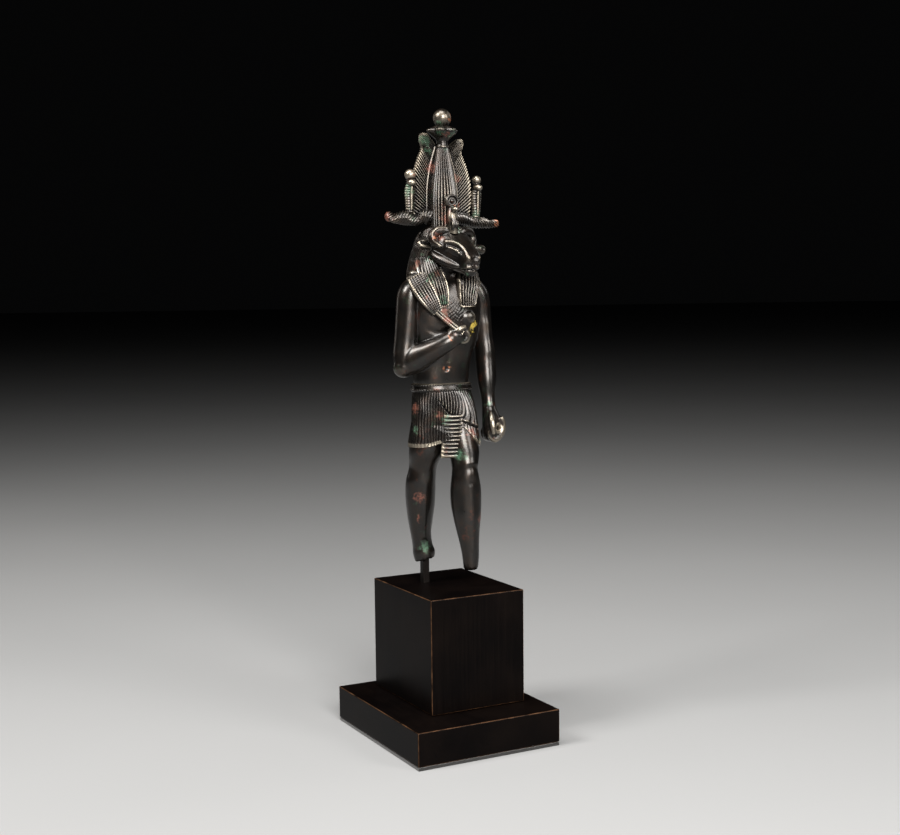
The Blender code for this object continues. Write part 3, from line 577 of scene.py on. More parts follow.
# a row of a leg is its height, its middle x and y, and its half width and half depth
legs = {
    "left": [
        (76, 3.4, -0.6, 6.6, 6.8), (66, 4.5, -3.0, 7.3, 7.6), (57, 5.1, -5.6, 7.0, 7.3), (51, 5.6, -7.0, 6.6, 7.0),
        (45, 5.0, -8.4, 5.6, 6.2), (41, 5.0, -8.8, 6.1, 6.3), (35.6, 5.4, -8.3, 6.8, 6.9), (29.6, 5.4, -8.5, 6.8, 6.8),
        (23.9, 5.3, -9.4, 6.3, 6.0), (17.7, 5.4, -10.0, 5.3, 5.0), (11.8, 5.8, -10.5, 4.4, 4.2),
        (6.1, 6.1, -11.0, 3.8, 3.6),
        (1.2, 6.1, -11.1, 3.3, 3.1), (0.0, 6.0, -11.1, 2.5, 2.3),
    ],
    "right": [
        (76, -4.8, 1.8, 7.0, 7.0), (66, -6.5, 1.5, 7.8, 7.8), (57, -7.9, 2.4, 7.7, 7.7), (51, -8.4, 3.0, 7.5, 7.4),
        (45, -8.8, 5.0, 6.2, 6.5), (39.0, -9.4, 6.2, 6.6, 6.7), (33.0, -9.2, 7.2, 6.7, 6.7),
        (27.3, -9.0, 7.7, 6.4, 6.3),
        (21.0, -8.8, 8.3, 5.6, 5.5), (15.0, -8.5, 8.6, 4.7, 4.6), (9.5, -7.6, 8.9, 4.5, 4.6),
        (6.2, -7.0, 8.7, 5.0, 4.8),
        (3.2, -6.8, 8.5, 4.6, 4.4),
    ],
    "breakHeight": 3.2, "breakSlope": 0.24, "breakMiddle": -6.8, "fade": 9.0,
    "raggedUpTo": 4.0, "ragged": 0.35, "levels": 110, "sides": 56, "voxel": 0.45, "relax": 6,
    "carving": [
        ([(3.0, -13.6, 47.5), (6.0, -14.6, 47.8), (8.6, -13.4, 47.2)], 0.35, 1.5),  # the muscle over the left knee
        ([(5.6, -14.9, 43.4)], 0.35, 2.4),  # kneecap
        ([(4.6, -15.4, 37), (5.0, -15.6, 29), (5.2, -15.4, 20), (5.7, -14.6, 10)], 0.35, 1.4),  # the shin's edge
        ([(-9.6, -1.2, 45.6)], 0.4, 2.3),
        ([(-10.2, -0.3, 38), (-10.4, 0.8, 31), (-9.8, 2.6, 22), (-9.0, 3.8, 14)], 0.35, 1.4),
    ],
}


def makeLegs():
    forms = []
    for side in ("left", "right"):
        points, faces = stack(legs[side], legs["levels"], legs["sides"])
        if side == "right":  # the break slopes up towards the figure's left, and is ragged
            fade = np.clip(1 - (points[:, 2] - legs["breakHeight"]) / legs["fade"], 0, 1)
            points[:, 2] += fade * legs["breakSlope"] * (points[:, 0] - legs["breakMiddle"])
            rim = np.clip(1 - (points[:, 2] - legs["breakHeight"]) / legs["raggedUpTo"], 0, 1)
            points[:, 2] += rim * legs["ragged"] * np.sin(1.9 * points[:, 0] + 1.3) * np.cos(1.6 * points[:, 1])
        forms.append((points, faces))
    made = melted("figure_legs", forms, legs["voxel"], legs["relax"])
    carve(made, legs["carving"])
    castPiece(made, 0, wearAndHighlight=0.4)


kilt = {
    "waist": (-0.8, 1.9, 13.5, 9.6),  # middle x and y, half width and half depth
    "beltTop": 82.3, "top": 80.4, "gather": 82.4, "hem": 54.5, "cloth": 0.55,
    "pleatsFront": 62, "pleatsOver": 52,  # pleats all round: fine ones on the right thigh, broad ones on the left
    "pleatDepth": 0.2, "sides": 640, "levels": 74, "ropeTurns": 64,
    # the upper end crosses here: degrees, height
    "edge": ((238, 74.9), (252, 71.2), (266, 68.2), (282, 66.2), (298, 64.6), (325, 62.0)),
    "overlap": 0.55, "tangents": 48, "thighTop": 66, "flare": 17.5,  # mm down from the gather until the thighs fill it
    "tabTop": 69.0, "tabFoot": 50.0, "tabTurn": -22, "tabRidges": 11, "ridgeDepth": 0.34,
}


def legAt(rows, z):  # the leg's middle and mean radius at a height
    rows = np.array(rows)[::-1]
    x, y, wide, deep = (np.interp(z, rows[:, 0], rows[:, i]) for i in (1, 2, 3, 4))
    return x, y, (wide + deep) / 2


def kiltReach(angle, z):  # how far the cloth stands from the waist's middle: drawn tight round waist and thighs
    down = np.clip((kilt["gather"] - z) / kilt["flare"], 0, 1)
    share = down * down * (3 - 2 * down)
    middleX, middleY, wide, deep = kilt["waist"]
    reach = np.full(np.broadcast(angle, z).shape, 1e9)
    both = [legAt(legs[side], np.minimum(z, kilt["thighTop"])) for side in ("left", "right")]
    for step in range(kilt["tangents"]):
        turn = 2 * math.pi * step / kilt["tangents"]
        facing = np.cos(angle - turn)
        nx, ny = math.cos(turn), math.sin(turn)
        thighs = np.maximum(*[(x - middleX) * nx + (y - middleY) * ny + r for x, y, r in both])
        here = ((1 - share) * math.hypot(wide * nx, deep * ny) + share * (thighs + kilt["cloth"])) / np.maximum(facing,
                                                                                                                0.01)
        reach = np.where(facing < 0.15, reach, np.minimum(reach, here))
    return reach


def kiltPoint(angle, z, out=0.0):
    reach = kiltReach(angle, z) + out
    x, y = kilt["waist"][:2]
    return np.stack([x + reach * np.cos(angle), y + reach * np.sin(angle), z + 0 * angle], -1)


def hemLift(degrees):
    return 9.0 * np.exp(-((degrees - 282) / 20) ** 2) + 2.0 * np.exp(-((degrees - 245) / 26) ** 2)


def makeKilt():
    angle = (np.arange(kilt["sides"]) * 2 * np.pi / kilt["sides"])[None]
    degrees = np.degrees(angle)
    t = np.linspace(0, 1, kilt["levels"])[:, None]
    z = kilt["top"] + (kilt["hem"] + hemLift(degrees) - kilt["top"]) * t
    turns, heights = zip(*kilt["edge"])
    edge = np.interp(degrees, turns, heights)
    shown = np.clip((degrees - turns[0] + 4) / 6, 0, 1)
    over = np.clip((z - edge) / 0.4 + 0.5, 0, 1) * shown
    over = np.where(degrees > turns[-1], 1.0, over)  # on the figure's left only the upper cloth shows
    over *= np.clip((360 - degrees) / 40, 0, 1)
    lean = np.radians(-11) * t * np.exp(-((degrees - 276) / 34) ** 2)  # the upper cloth's pleats sweep to its edge
    sway = 0.012 * np.sin(z * 0.55 + degrees * 0.11)
    fine = ridges(angle + sway, kilt["pleatsFront"])
    bow = 0.13 * 4 * t * (1 - t)
    broad = ridges(angle - lean * 1.6 - bow, kilt["pleatsOver"])
    pleat = np.where(over > 0.5, broad * 1.8, fine)
    grow = np.clip(5 * t, 0, 1) * np.clip((1 - t) * 14, 0.35, 1)
    groove = np.exp(-((z - edge) / 0.4) ** 2) * shown * (degrees < turns[-1])
    out = kilt["pleatDepth"] * pleat * grow + kilt["overlap"] * over * np.clip(3 * t, 0, 1) - 0.7 * groove
    cloth = skin(kiltPoint(angle, z, out))
    x, y, wide, deep = kilt["waist"]
    rope = lambda a, t, z: 0.16 * np.cos(kilt["ropeTurns"] * a + 2.4 * z)
    top = kilt["beltTop"]
    band = stack([(top + 0.5, x, y, wide - 1.2, deep - 1.2), (top, x, y, wide, deep),
                  (top - 1.4, x, y, wide + 0.42, deep + 0.42),
                  (top - 3.3, x, y, wide + 0.45, deep + 0.45), (top - 3.8, x, y, wide - 1.0, deep - 1.0)], 14, 320)
    cords = []
    for level, proud in ((top - 0.6, 0.35), (top - 2.5, 0.65)):
        ring = [(level - 0.55, x, y, wide + proud - 0.9, deep + proud - 0.9),
                (level - 0.3, x, y, wide + proud, deep + proud),
                (level, x, y, wide + proud + 0.22, deep + proud + 0.22),
                (level + 0.3, x, y, wide + proud, deep + proud),
                (level + 0.55, x, y, wide + proud - 0.9, deep + proud - 0.9)]
        cords.append(stack(ring, 13, 384, wave=rope))
    # the tab between the thighs, pressed into level pleats
    rows = kilt["tabRidges"] * 8 + 1
    t = np.linspace(0, 1, rows)[:, None]
    u = np.linspace(-1, 1, 29)[None]
    proud = kilt["ridgeDepth"] * (2 * np.abs(np.sin(np.pi * kilt["tabRidges"] * t + 0.25 * u)) - 1)
    half = 4.05 + 0.6 * t
    bow = 0.5 * u ** 2
    front = np.stack([half * u, bow - proud * (1 - np.abs(u) ** 8) + 0 * t, 0 * u * t], 2)
    back = np.stack([half * u[:, ::-1], 4.5 + 0 * u * t, 0 * u * t], 2)
    rings = np.concatenate([front, back], 1)
    turn = np.array(Matrix.Rotation(math.radians(kilt["tabTurn"]), 3, "Z"))
    middle = np.stack([-1.6 - 0.6 * t, -10.7 + 1.0 * t, kilt["tabTop"] + (kilt["tabFoot"] - kilt["tabTop"]) * t], 2)
    tab = skin(rings @ turn.T + middle)
    castPiece(fused("figure_kilt", [cloth, band, *cords, tab]), 50, axes=(0, 1))


body = {
    "torso": [
        (74.0, -0.8, 1.9, 11.6, 7.8), (81.0, -0.8, 1.9, 12.4, 8.6), (84.0, -0.8, 1.9, 12.9, 9.0),
        (92.0, -0.5, 1.5, 13.2, 9.0), (102.0, 0.0, 0.8, 15.0, 9.7),
        (111.0, 0.0, 0.2, 16.4, 9.9), (119.0, 0.0, 0.0, 17.0, 9.0), (125.0, 0.0, 0.6, 15.0, 8.0),
        (129.0, 0.0, 1.2, 9.5, 7.0),
        (136.0, 0.0, 0.5, 6.5, 6.5),
    ],
    "upperArm": [
        (-14.0, 0.5, 124.5, 4.6, 5.0), (-16.6, 0.6, 121.0, 5.2, 5.6), (-17.8, 0.6, 112.0, 5.0, 5.4),
        (-18.9, 0.5, 102.0, 4.8, 5.1),
        (-19.9, 0.2, 95.0, 4.7, 5.0), (-20.2, -0.4, 90.0, 4.2, 4.6),
    ],
    "forearm": [
        (-20.3, 0.4, 91.0, 5.6, 4.4), (-17.0, -2.4, 92.8, 6.2, 4.8), (-12.0, -6.6, 96.0, 5.1, 4.6),
        (-7.5, -10.3, 98.9, 4.3, 4.1),
        (-4.0, -12.4, 101.2, 3.8, 3.5), (-1.0, -13.0, 102.8, 2.6, 2.4),
    ],
    "hanging": [
        (14.0, 0.5, 124.5, 4.6, 5.0), (16.8, 0.2, 120.5, 5.0, 5.5), (18.2, 0.0, 112.0, 4.7, 5.2),
        (18.7, -0.6, 103.0, 4.5, 4.9),
        (19.3, -1.6, 96.0, 4.6, 4.7), (19.4, -2.6, 89.0, 4.6, 4.5), (19.2, -3.8, 82.0, 4.2, 4.1),
        (18.9, -5.0, 75.5, 3.2, 3.1),
        (18.8, -5.8, 72.0, 3.0, 3.2), (18.8, -6.6, 68.0, 3.3, 3.8),
    ],
    "palm": [(18.8, -6.0, 70.4, 3.0, 3.4), (18.7, -7.8, 66.4, 3.7, 4.6), (18.8, -8.6, 62.4, 4.2, 4.7),
             (18.2, -8.8, 58.8, 3.6, 4.3),
             (17.4, -8.8, 56.2, 2.2, 3.2)],
    "thumb": [(17.6, -10.0, 69.0, 1.2, 1.2), (16.8, -12.2, 66.4, 1.35, 1.35), (16.6, -13.4, 63.0, 1.35, 1.35),
              (16.9, -13.2, 59.6, 1.1, 1.1)],
    "fistHole": (19.7, 62.3, 1.4),  # x, height, radius
    "voxel": 0.42,
    "carving": [
        ([(-2.7, -7.6, 88.9)], -1.0, 0.9),  # navel
        ([(-1.2, -8.6, 108), (-1.6, -8.4, 100), (-2.0, -8.0, 93)], -0.35, 1.5),  # the line down the belly
        ([(-11.5, -7.2, 106), (-7.0, -9.0, 104.6), (-2.0, -9.4, 106)], -0.35, 1.3),  # under the breast
        ([(2.0, -9.4, 106), (7.0, -9.0, 104.6), (11.5, -7.0, 106)], -0.35, 1.3),
        ([(-1.0, 10.0, 124), (-1.0, 10.2, 110), (-1.0, 10.6, 96), (-1.0, 11.0, 86)], -0.6, 1.5),  # spine
        ([(-9.5, 8.0, 118), (-8.0, 9.2, 110), (-10.0, 8.6, 104)], 0.4, 2.4),  # shoulder blades
        ([(9.5, 8.0, 118), (8.0, 9.2, 110), (10.0, 8.6, 104)], 0.4, 2.4),
        ([(-16.6, -4.4, 100), (-16.4, -4.9, 106), (-15.6, -5.2, 112)], 0.3, 2.4),
        ([(19.6, -5.4, 96), (19.5, -5.8, 101), (19.0, -5.6, 108)], 0.3, 2.2),
    ],
}


# on the chest
stipple = {"heights": (107.5, 121), "front": -7, "middle": 0.6, "half": 4.2, "spacing": 1.8, "height": 0.13}


def finger(rows):
    return tube(rows, 26, 16, side=(0, 1, 0))


def makeBody():
    forms = [stack(body["torso"], 120, 96, 2.3)]
    forms.append(ball((7.5, -9.0, 111.1), (3.3, 1.3, 2.7)))
    forms.append(tube(body["upperArm"], 60, 40))
    forms.append(ball((-20.4, -0.2, 89.9), (4.5, 4.7, 4.6)))
    forms.append(tube(body["forearm"], 60, 40, side=(0, 0, 1)))
    forms.append(tube(body["hanging"], 110, 40))
    # right hand, closed on the flail
    forms.append(ball((-0.8, -12.9, 103.3), (5.0, 3.7, 4.3)))
    for i in range(3):
        y = -15.0 + 2.1 * i
        forms.append(finger([(0.0, y, 105.6, 1.2, 1.2), (2.4, y - 0.2, 104.9, 1.3, 1.3),
                             (3.3, y - 0.2, 103.0, 1.3, 1.3),
                             (2.4, y, 101.2, 1.3, 1.3), (0.0, y, 100.8, 1.2, 1.2)]))
    forms.append(tube([(-3.0, -14.4, 104.6, 1.2, 1.2), (-0.8, -16.0, 106.2, 1.3, 1.3), (2.0, -15.8, 107.2, 1.0, 1.0)],
                      20, 16))
    # left fist
    forms.append(tube(body["palm"], 40, 32))
    for i in range(4):
        y = -5.8 - 2.1 * i
        forms.append(finger([(21.3, y, 67.0, 1.1, 1.2), (22.6, y, 63.6, 1.2, 1.35), (21.6, y, 59.6, 1.25, 1.4),
                             (18.6, y, 57.2, 1.3, 1.45),
                             (16.2, y, 58.6, 1.15, 1.35), (15.8, y, 61.6, 0.9, 1.1)]))
    forms.append(tube(body["thumb"], 30, 16))
    made = melted("figure_body", forms, body["voxel"], 5)
    x, z, radius = body["fistHole"]
    cutter = newMesh("fist_hole", *tube([(x, -18, z, radius, radius), (x, 0, z, radius, radius)], 2, 32))
    hole = made.modifiers.new("hole", "BOOLEAN")
    hole.operation, hole.object, hole.solver = "DIFFERENCE", cutter, "MANIFOLD"
    evaluated(made)
    bpy.data.objects.remove(cutter, do_unlink=True)
    carve(made, body["carving"])

    def beads(points):
        x, y, z = points.T
        (foot, top), front, middle, half = stipple["heights"], stipple["front"], stipple["middle"], stipple["half"]
        shown = np.clip((z - foot) / 1.5, 0, 1) * np.clip((top - z) / 1.5, 0, 1)
        shown = shown * np.clip((front - y) / 0.8, 0, 1) * np.clip((half - np.abs(x - middle)) / 1.0, 0, 1)
        step = 2 * np.pi / stipple["spacing"]
        return stipple["height"] * np.sin(step * x + np.sin(1.7 * z)) * np.sin(step * z + np.cos(1.3 * x)) * shown

    shifted(made, beads)
    castPiece(made, 0)


head = {
    "turn": 6.0, "shift": 1.0, "voxel": 0.28,
    "skull": [
        (0, 7.0, 140.0, 5.0, 5.0), (0, 0.0, 141.0, 9.2, 8.6), (0, -5.0, 140.6, 9.0, 7.9), (0, -9.5, 138.6, 7.5, 7.1),
        (0, -13.5, 136.5, 5.6, 6.3), (0, -16.8, 134.9, 4.5, 5.6), (0, -19.2, 133.8, 4.1, 4.9),
        (0, -20.7, 133.2, 3.5, 3.9),
        (0, -21.6, 133.0, 2.0, 2.2),
    ],
    "horn": [
        (-1.6, -6.6, 147.2, 1.8, 1.8), (-4.6, -6.8, 148.2, 2.1, 2.1), (-8.2, -5.9, 148.2, 2.1, 2.1),
        (-10.2, -5.2, 146.2, 2.0, 2.0),
        (-10.3, -6.4, 143.4, 1.6, 1.6), (-9.1, -8.6, 141.9, 1.0, 1.0), (-8.2, -9.6, 141.8, 0.5, 0.5),
    ],
    "ear": [(-7.0, -1.8, 141.6, 1.2, 0.9), (-10.4, -2.8, 142.2, 2.0, 1.1), (-13.4, -3.2, 142.6, 2.0, 1.0),
            (-15.6, -3.2, 143.0, 1.2, 0.8),
            (-16.6, -3.1, 143.2, 0.3, 0.3)],
    "cup": [(7.0, -1.8, 141.6, 1.2, 1.0), (11.0, -2.8, 141.2, 1.6, 1.3), (14.5, -3.4, 140.9, 1.9, 1.5),
            (17.0, -3.6, 140.7, 2.1, 1.8),
            (18.4, -3.6, 140.7, 1.2, 1.0)],
    "jaw": [(-9.6, -0.5, 140.2, 1.0, 1.0), (-8.8, -3.0, 138.4, 2.1, 2.1), (-7.9, -7.2, 136.2, 2.2, 2.2),
            (-6.3, -11.4, 134.2, 1.9, 1.9),
            (-4.9, -14.6, 133.0, 1.4, 1.4), (-4.0, -16.8, 132.6, 0.7, 0.7)],
    "carving": [
        ([(-6.6, -10.6, 143.4), (-5.3, -12.6, 143.2), (-3.6, -15.2, 142.2), (-2.8, -17.4, 140.8), (-2.6, -19.6, 138.6),
          (-2.5, -21.0, 136.6)], 0.75, 0.85),
        ([(-6.8, -11.6, 142.2), (-5.9, -13.1, 141.9), (-5.1, -14.6, 141.3), (-4.3, -16.4, 140.1), (-3.9, -18.2, 138.6)],
         -0.65, 0.5),
        # the lid
        ([(-6.5, -12.2, 141.0), (-5.8, -13.6, 140.5), (-5.0, -15.5, 139.5), (-4.3, -17.4, 138.3)], 0.35, 0.45),
        ([(-6.6, -11.6, 139.2), (-5.6, -13.6, 137.8), (-4.7, -16.2, 136.6)], -0.25, 0.9),  # below the eye
        # mouth
        ([(-4.0, -17.0, 131.6), (-3.6, -18.7, 131.1), (-3.1, -20.0, 131.1), (-1.8, -20.9, 131.2), (0, -21.2, 131.3)],
         -0.6, 0.4),
        ([(-3.3, -20.6, 133.6), (-2.4, -21.3, 133.4), (-0.6, -21.6, 133.5)], -0.35, 0.35),  # above the lip
        # tip of the nose, lip
        ([(-2.2, -21.2, 135.2)], 0.6, 1.3), ([(-3.0, -20.8, 132.4), (-1.5, -21.5, 132.5)], 0.3, 0.45),
    ],
}


def makeHead():
    turn = Matrix.Translation((head["shift"], 0, 0)) @ Matrix.Rotation(math.radians(head["turn"]), 4, "Z")
    forms = [tube(head["skull"], 90, 72, power=2.8), tube(head["ear"], 40, 24, side=(0, 0, 1)),
             tube(head["cup"], 40, 24, side=(0, 0, 1))]
    for part, count in (("horn", 50), ("jaw", 44)):
        forms.append(tube(head[part], count, 24))
        forms.append(tube(mirrored(head[part]), count, 24))
    for side in (-1, 1):
        forms.append(ball((side * 4.7, -14.6, 139.7), (1.0, 2.3, 1.0)))
    forms.append(ball((0, -18.4, 130.1), (2.7, 2.2, 1.8)))
    made = melted("figure_head", forms, head["voxel"], 3)
    strokes = head["carving"] + [(mirrored(path), height, width) for path, height, width in head["carving"]]
    # one ear is a long leaf, the other stands as a round cup, and both are hollowed
    strokes.append(([(-9.8, -3.8, 143.0), (-12.4, -4.2, 143.3), (-14.6, -4.1, 143.5)], -0.8, 0.55))
    strokes.append(([(-9.8, -4.0, 141.2), (-12.6, -4.3, 141.4), (-15.2, -4.1, 142.0)], 0.5, 0.6))
    strokes.append(([(17.0, -5.4, 140.9)], -0.9, 0.9))
    strokes.append(([(-4.4, -8.6, 149.4), (-8.4, -7.6, 149.6), (-11.0, -6.8, 147.4), (-11.6, -7.6, 144.6),
                     (-9.8, -9.4, 142.6)], 0.35, 0.45))
    carve(made, strokes)
    made.data.transform(turn)
    castPiece(made, 0)


wig = {
    "rows": [
        (151.4, 0.6, 0.8, 3.5, 4.0), (150.2, 0.6, 1.0, 7.6, 8.0), (147.0, 0.6, 1.6, 10.8, 10.6),
        (141.5, 0.5, 2.6, 12.6, 11.4),
        (135.5, 0.2, 3.8, 13.8, 11.6), (129.5, 0, 4.9, 14.4, 11.0), (123.5, 0, 6.2, 12.6, 8.0),
        (117.5, 0, 7.4, 10.8, 5.2),
    ],
    "strands": 58, "strandDepth": 0.26,
    "lappet": [(142.0, 8.4, 1.0, 2.2), (137.0, 9.6, -3.2, 3.6), (132.0, 9.6, -6.8, 5.1), (126.5, 8.8, -9.4, 5.7),
               (121.0, 7.6, -10.4, 4.8),
               (115.6, 6.8, -10.7, 3.8)],  # height, middle, front, half width
    "lappetStrands": 8, "lappetDepth": 0.34,
}


def lappet(side):
    rows = spread(wig["lappet"], 110)
    z, middle, front, half = (rows[:, i:i + 1] for i in range(4))
    u = np.linspace(-1, 1, 8 * wig["lappetStrands"] + 1)[None]
    wander = 0.06 * np.sin(z * 0.9 + 2.2 * u) + 0.03 * np.sin(z * 2.1 + 5 * u)
    strand = 2 * np.abs(np.cos(np.pi * wig["lappetStrands"] * (u / 2 + wander / 9.0))) - 1
    fade = np.clip((z - 116.0) / 0.8, 0, 1)
    x = side * (middle + half * u)
    y = front + (1.8 + 0.16 * (z - 116)) * np.maximum(u, 0) ** 3 + 0.9 * np.minimum(u, 0) ** 4
    y = y - wig["lappetDepth"] * (strand * fade + 0.3)
    faceOn = np.stack([x, y, z + 0 * u], 2)
    behind = np.stack([side * (middle + half * np.linspace(1, -1, 9)[None]),
                       front + 4.4 - 0.5 * np.linspace(0, 1, 9)[None], z + 0 * np.zeros((1, 9))], 2)
    return skin(np.concatenate([faceOn, behind], 1))


def makeWig():
    def strands(angle, t, z):
        sway = 0.012 * np.sin(z * 0.9 + 3 * angle) + 0.006 * np.sin(z * 2.1 + 7 * angle)
        throat = np.exp(-((angle - 1.5 * np.pi) / 0.75) ** 4) * np.clip((145 - z) / 6, 0, 1)
        strand = wig["strandDepth"] * ridges(angle + sway, wig["strands"]) * np.minimum(1, 4 * t)
        return strand * (1 - throat) - 4.0 * throat

    back = stack(wig["rows"], 120, 6 * wig["strands"], 2.1, strands)
    castPiece(fused("figure_wig", [back, lappet(-1), lappet(1)]), 60)


flail = {
    "handle": [(0.6, -15.9, 104.4), (-5.2, -13.9, 109.4), (-9.8, -11.9, 113.8)],
    "lashes": [(-9.4, -11.6, 113.4, 1.6), (-12.2, -10.6, 118.5, 3.0), (-14.4, -8.2, 123.6, 3.6),
               (-15.6, -5.0, 128.2, 3.5),
               (-15.9, -3.6, 129.6, 3.2)],
    "count": 7, "bead": 0.95,  # mm along a lash
    "knob": [(-15.9, 0.3, 129.9, 0.9, 0.9), (-15.7, -0.9, 130.0, 1.5, 1.5), (-14.8, -2.4, 130.0, 1.3, 1.3),
             (-13.4, -4.4, 129.8, 0.8, 0.8)],
}


def makeFlail():
    forms = []
    for offset in (-0.55, 0.55):  # the handle is two ridges side by side
        rows = [(x + offset * 0.6, y, z + offset * 0.75, 0.78, 0.78) for x, y, z in flail["handle"]]
        forms.append(tube(rows, 60, 16, wave=lambda a, t, s: 0.07 * np.cos(2 * np.pi * s / 0.9)))
    path = np.array(flail["lashes"])
    for i in range(flail["count"]):
        share = 2 * i / (flail["count"] - 1) - 1
        wide = (path[:, 3] / 5.4 + 0.12) * (1, 1, 1, 1, 0.35)
        rows = np.stack([path[:, 0] + path[:, 3] * share * 0.86, path[:, 1] - 0.8 * share,
                         path[:, 2] + path[:, 3] * share * 0.5,
                         wide, wide + 0.2], 1)
        forms.append(tube(rows, 150, 16, wave=lambda a, t,
                          s: 0.025 * np.cos(2 * np.pi * s / flail["bead"]) + 0.07 * np.cos(5 * a)))
    under = np.stack([path[:, 0], path[:, 1] + 2.4, path[:, 2], path[:, 3] * 0.95, (2.0, 2.0, 2.0, 2.0, 1.0)], 1)
    forms.append(tube(under, 40, 32, side=(0.86, -0.3, 0.5)))
    forms.append(tube(flail["knob"], 24, 24))
    castPiece(fused("figure_flail", forms), 60)


crown = {
    "reeds": [(146.0, 0, -0.4, 5.4, 5.4), (149.0, 0, -0.6, 5.7, 5.7), (156.0, 0, -0.5, 5.8, 5.8),
              (165.0, 0, -0.4, 5.75, 5.75),
              (174.8, 0, -0.2, 4.2, 4.2), (184.4, 0, 0.0, 2.5, 2.5)],
    "flutes": 26, "fluteDepth": 0.34,
    "neck": [(183.9, 0, 0, 2.2, 2.2), (184.2, 0, 0, 2.9, 2.9), (184.9, 0, 0, 2.95, 2.95), (185.4, 0, 0, 2.55, 2.55),
             (187.4, 0, 0, 2.6, 2.6),
             (188.4, 0, 0, 2.4, 2.4)],
    "tuft": [(186.6, 0, 0, 2.3, 2.3), (188.0, 0, 0, 3.2, 3.2), (189.6, 0, 0, 4.9, 4.9), (191.0, 0, 0, 6.2, 6.2),
             (191.9, 0, 0, 6.0, 6.0),
             (192.6, 0, 0, 4.8, 4.8), (193.4, 0, 0, 3.2, 3.2), (194.2, 0, 0, 1.8, 1.8)],
    "petals": 6,
    "inner": [(5.2, 150.5), (5.2, 155.0), (5.15, 159.5), (5.0, 164.5), (4.6, 169.5), (3.9, 174.5), (3.2, 178.5),
              (2.6, 181.8), (2.2, 184.2)],
    "outer": [(13.6, 155.0), (14.5, 161.5), (14.4, 168.5), (13.0, 174.5), (11.2, 179.3), (9.5, 183.2), (10.4, 186.2),
              (9.7, 188.9), (7.0, 189.0)],
    "barbs": 34, "barbDepth": 0.5,
    "rib": [(7.5, 156.0), (7.4, 166.0), (6.4, 173.2), (4.8, 179.2), (3.1, 184.0)],
    "hornRight": [(-1.0, 1.0, 154.8, 2.6, 2.6), (-8.2, 1.4, 155.0, 3.0, 3.0), (-12.6, 1.5, 153.4, 2.3, 2.3),
                  (-17.6, 1.5, 154.1, 3.0, 3.0),
                  (-22.3, 1.5, 153.8, 2.0, 2.0), (-23.8, 1.5, 154.0, 1.7, 1.7), (-25.6, 1.5, 154.5, 1.9, 1.9),
                  (-26.8, 1.5, 154.6, 1.3, 1.3),
                  (-27.2, 1.5, 154.6, 0.4, 0.4)],
    "hornLeft": [(1.0, 1.0, 154.4, 2.6, 2.6), (9.6, 1.4, 154.3, 2.7, 2.7), (15.8, 1.5, 152.4, 2.1, 2.1),
                 (20.2, 1.5, 152.5, 2.3, 2.3),
                 (23.8, 1.5, 152.0, 1.6, 1.6), (27.4, 1.5, 152.4, 1.4, 1.4), (28.5, 1.5, 152.5, 0.9, 0.9),
                 (28.8, 1.5, 152.5, 0.3, 0.3)],
    "twistStarts": 8, "twistPitch": 11.0, "twistDepth": 0.26,  # the striations stand 1.4 mm apart
    "cobras": {"right": (-15.6, 154.5, 172.3, 2.45), "left": (17.0, 153.0, 171.0, 2.0)},  # x, foot, head, ball radius
}


def plume(side, tip):
    steps = crown["barbs"] * 8 + 1
    inner, outer = spread(crown["inner"], steps), spread(crown["outer"], steps)
    t = np.linspace(0, 1, steps)[:, None]
    outer[:, 1:] += tip * t
    outer[:, :1] += np.maximum(side, 0) * 0.9 * t ** 2
    u = np.linspace(0, 1, 22)[None]
    x = side * (inner[:, :1] + (outer[:, :1] - inner[:, :1]) * u)
    z = inner[:, 1:] + (outer[:, 1:] - inner[:, 1:]) * u
    turn = np.cos(2 * np.pi * crown["barbs"] * t)
    barb = (0.12 * turn - crown["barbDepth"] * np.maximum(-turn, 0) ** 1.5) * np.clip(8 * u, 0, 1)
    half = 0.95 + barb - 0.35 * u ** 6
    front = np.stack([x, 1.6 - half, z], 2)
    back = np.stack([x, 1.6 + half, z], 2)[:, ::-1]
    return skin(np.concatenate([front, back], 1))


def cobra(x, low, high, radius):
    scales = lambda a, t, s: 0.13 * (2 * np.abs(np.cos(np.pi * s / 1.1)) - 1) * np.clip(8 * (1 - t), 0, 1)
    rows = [(x * 0.985, 1.2, low, 1.3, 1.2), (x, 0.9, low + 4.0, 1.9, 1.3), (x, 0.6, high - 7.0, 2.4, 1.3),
            (x, 0.3, high - 4.0, 1.9, 1.4), (x, 0.3, high - 0.8, 1.2, 1.2)]
    return [tube(rows, 110, 28, wave=scales), ball((x, -0.9, high - 3.4), (2.0, 2.4, 1.6)),
            tube([(x, -0.7, low + 3, 0.5, 0.4), (x, -1.0, high - 8, 0.7, 0.5), (x, -1.2, high - 5, 0.5, 0.5)], 30, 12),
            ball((x, 0.3, high), (radius, radius, radius))]


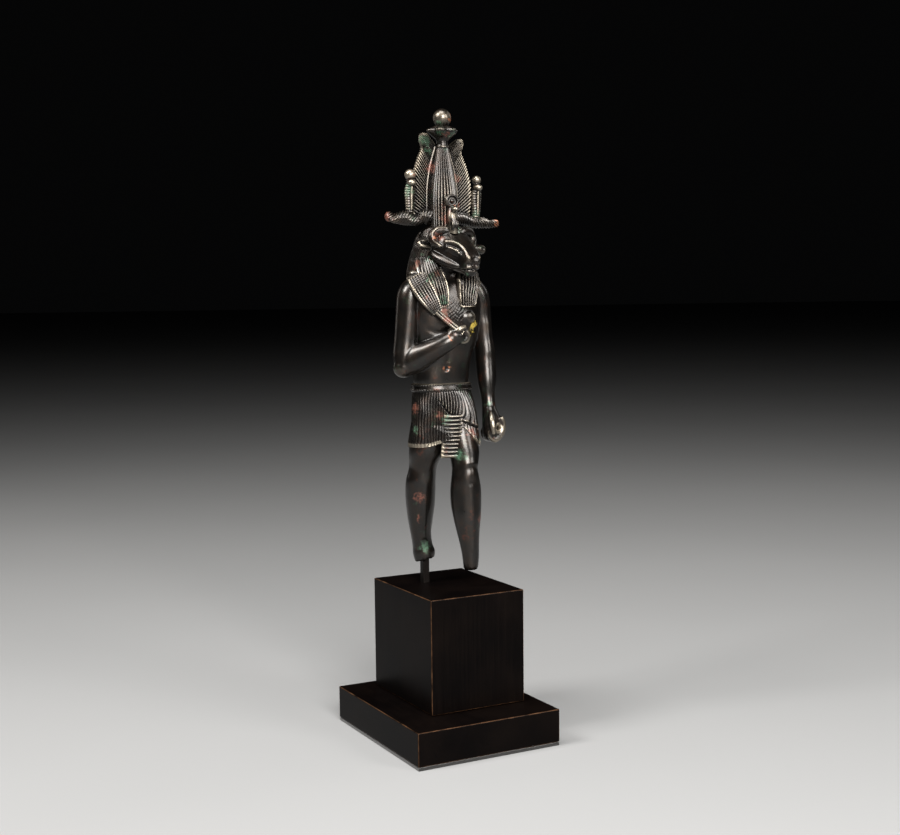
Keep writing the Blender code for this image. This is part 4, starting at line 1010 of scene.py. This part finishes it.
def frontCobra():
    forms = [tube([(0.3, -8.6, 147.6, 1.9, 2.4), (0.2, -9.4, 151.0, 1.9, 2.0), (0, -9.0, 154.0, 2.2, 1.7),
                   (0, -8.2, 156.4, 1.9, 1.7),
                   (0, -7.4, 158.6, 1.2, 1.6)], 60, 28)]
    for x in (-1.2, -0.4, 0.4, 1.2):  # belly folds
        forms.append(tube([(x * 0.8 + 0.2, -10.6 + 0.2 * abs(x), 148.6, 0.34, 0.4),
                           (x + 0.2, -11.2 + 0.3 * abs(x), 151.0, 0.36, 0.4),
                           (x, -10.6 + 0.3 * abs(x), 153.6, 0.3, 0.3)], 20, 10))
    forms.append(ball((0, -10.6, 157.4), (1.5, 2.4, 1.2)))
    # the disc: a plate with a raised rim and a boss at its middle
    profile = [(0.02, 1.3), (1.6, 1.35), (2.8, 1.1), (3.2, 0.3), (3.2, -0.5), (2.95, -1.0), (2.5, -1.1), (2.15, -0.8),
               (2.0, -0.35), (1.2, -0.3),
               (0.95, -0.5), (0.8, -1.0), (0.45, -1.2), (0.02, -1.25)]
    angle = np.arange(48) * 2 * np.pi / 48
    rings = [np.stack([out * np.cos(angle), -8.0 + forward + 0 * angle, 161.0 + 0.92 * out * np.sin(angle)], 1) for out,
             forward in spread(profile, 60)]
    forms.append(skin(rings))
    return forms


def makeCrown():
    def flutes(angle, t, z):
        return crown["fluteDepth"] * ridges(angle, crown["flutes"]) * (1 - 0.62 * np.clip((z - 160) / 24, 0, 1))

    def petals(angle, t, z):
        spreading = np.clip((t - 0.15) / 0.4, 0, 1) * np.clip((1 - t) / 0.3, 0, 1)
        return 0.95 * spreading * ridges(angle, crown["petals"],
                                         0.3) + 0.08 * spreading * np.cos(6 * crown["petals"] * angle)

    def twist(way):
        def wave(angle, t, s):
            fade = np.clip(9 * (0.9 - t), 0, 1)
            wound = angle + way * 2 * np.pi * s / crown["twistPitch"]
            return crown["twistDepth"] * np.cos(crown["twistStarts"] * wound) * fade
        return wave

    forms = [stack(crown["reeds"], 90, 8 * crown["flutes"], wave=flutes), stack(crown["neck"], 40, 48),
             stack(crown["tuft"], 50, 24 * crown["petals"], wave=petals),
             stack([(190, 0, 0, 2.4, 2.4), (194.6, 0, 0, 2.2, 2.2)], 6, 32),
             ball((0, 0, 196.9), (3.95, 3.95, 4.07), 56, 40)]
    for side, tip in ((-1, 1.4), (1, -0.6)):
        forms.append(plume(side, tip))
        for face in (-1, 1):
            rows = [(side * x, 1.6 + face * 0.8, z + 0.5 * tip * (z - 156) / 28, 0.6, 0.5) for x, z in crown["rib"]]
            forms.append(tube(rows, 60, 14))
    forms.append(tube(crown["hornRight"], 150, 66, side=(0, 0, 1), wave=twist(1)))
    forms.append(tube(crown["hornLeft"], 150, 66, side=(0, 0, 1), wave=twist(-1)))
    for side in ("right", "left"):
        forms += cobra(*crown["cobras"][side])
    castPiece(fused("figure_crown", forms + frontCobra()), 50)


makeLegs()
makeKilt()
makeBody()
makeHead()
makeWig()
makeFlail()
makeCrown()
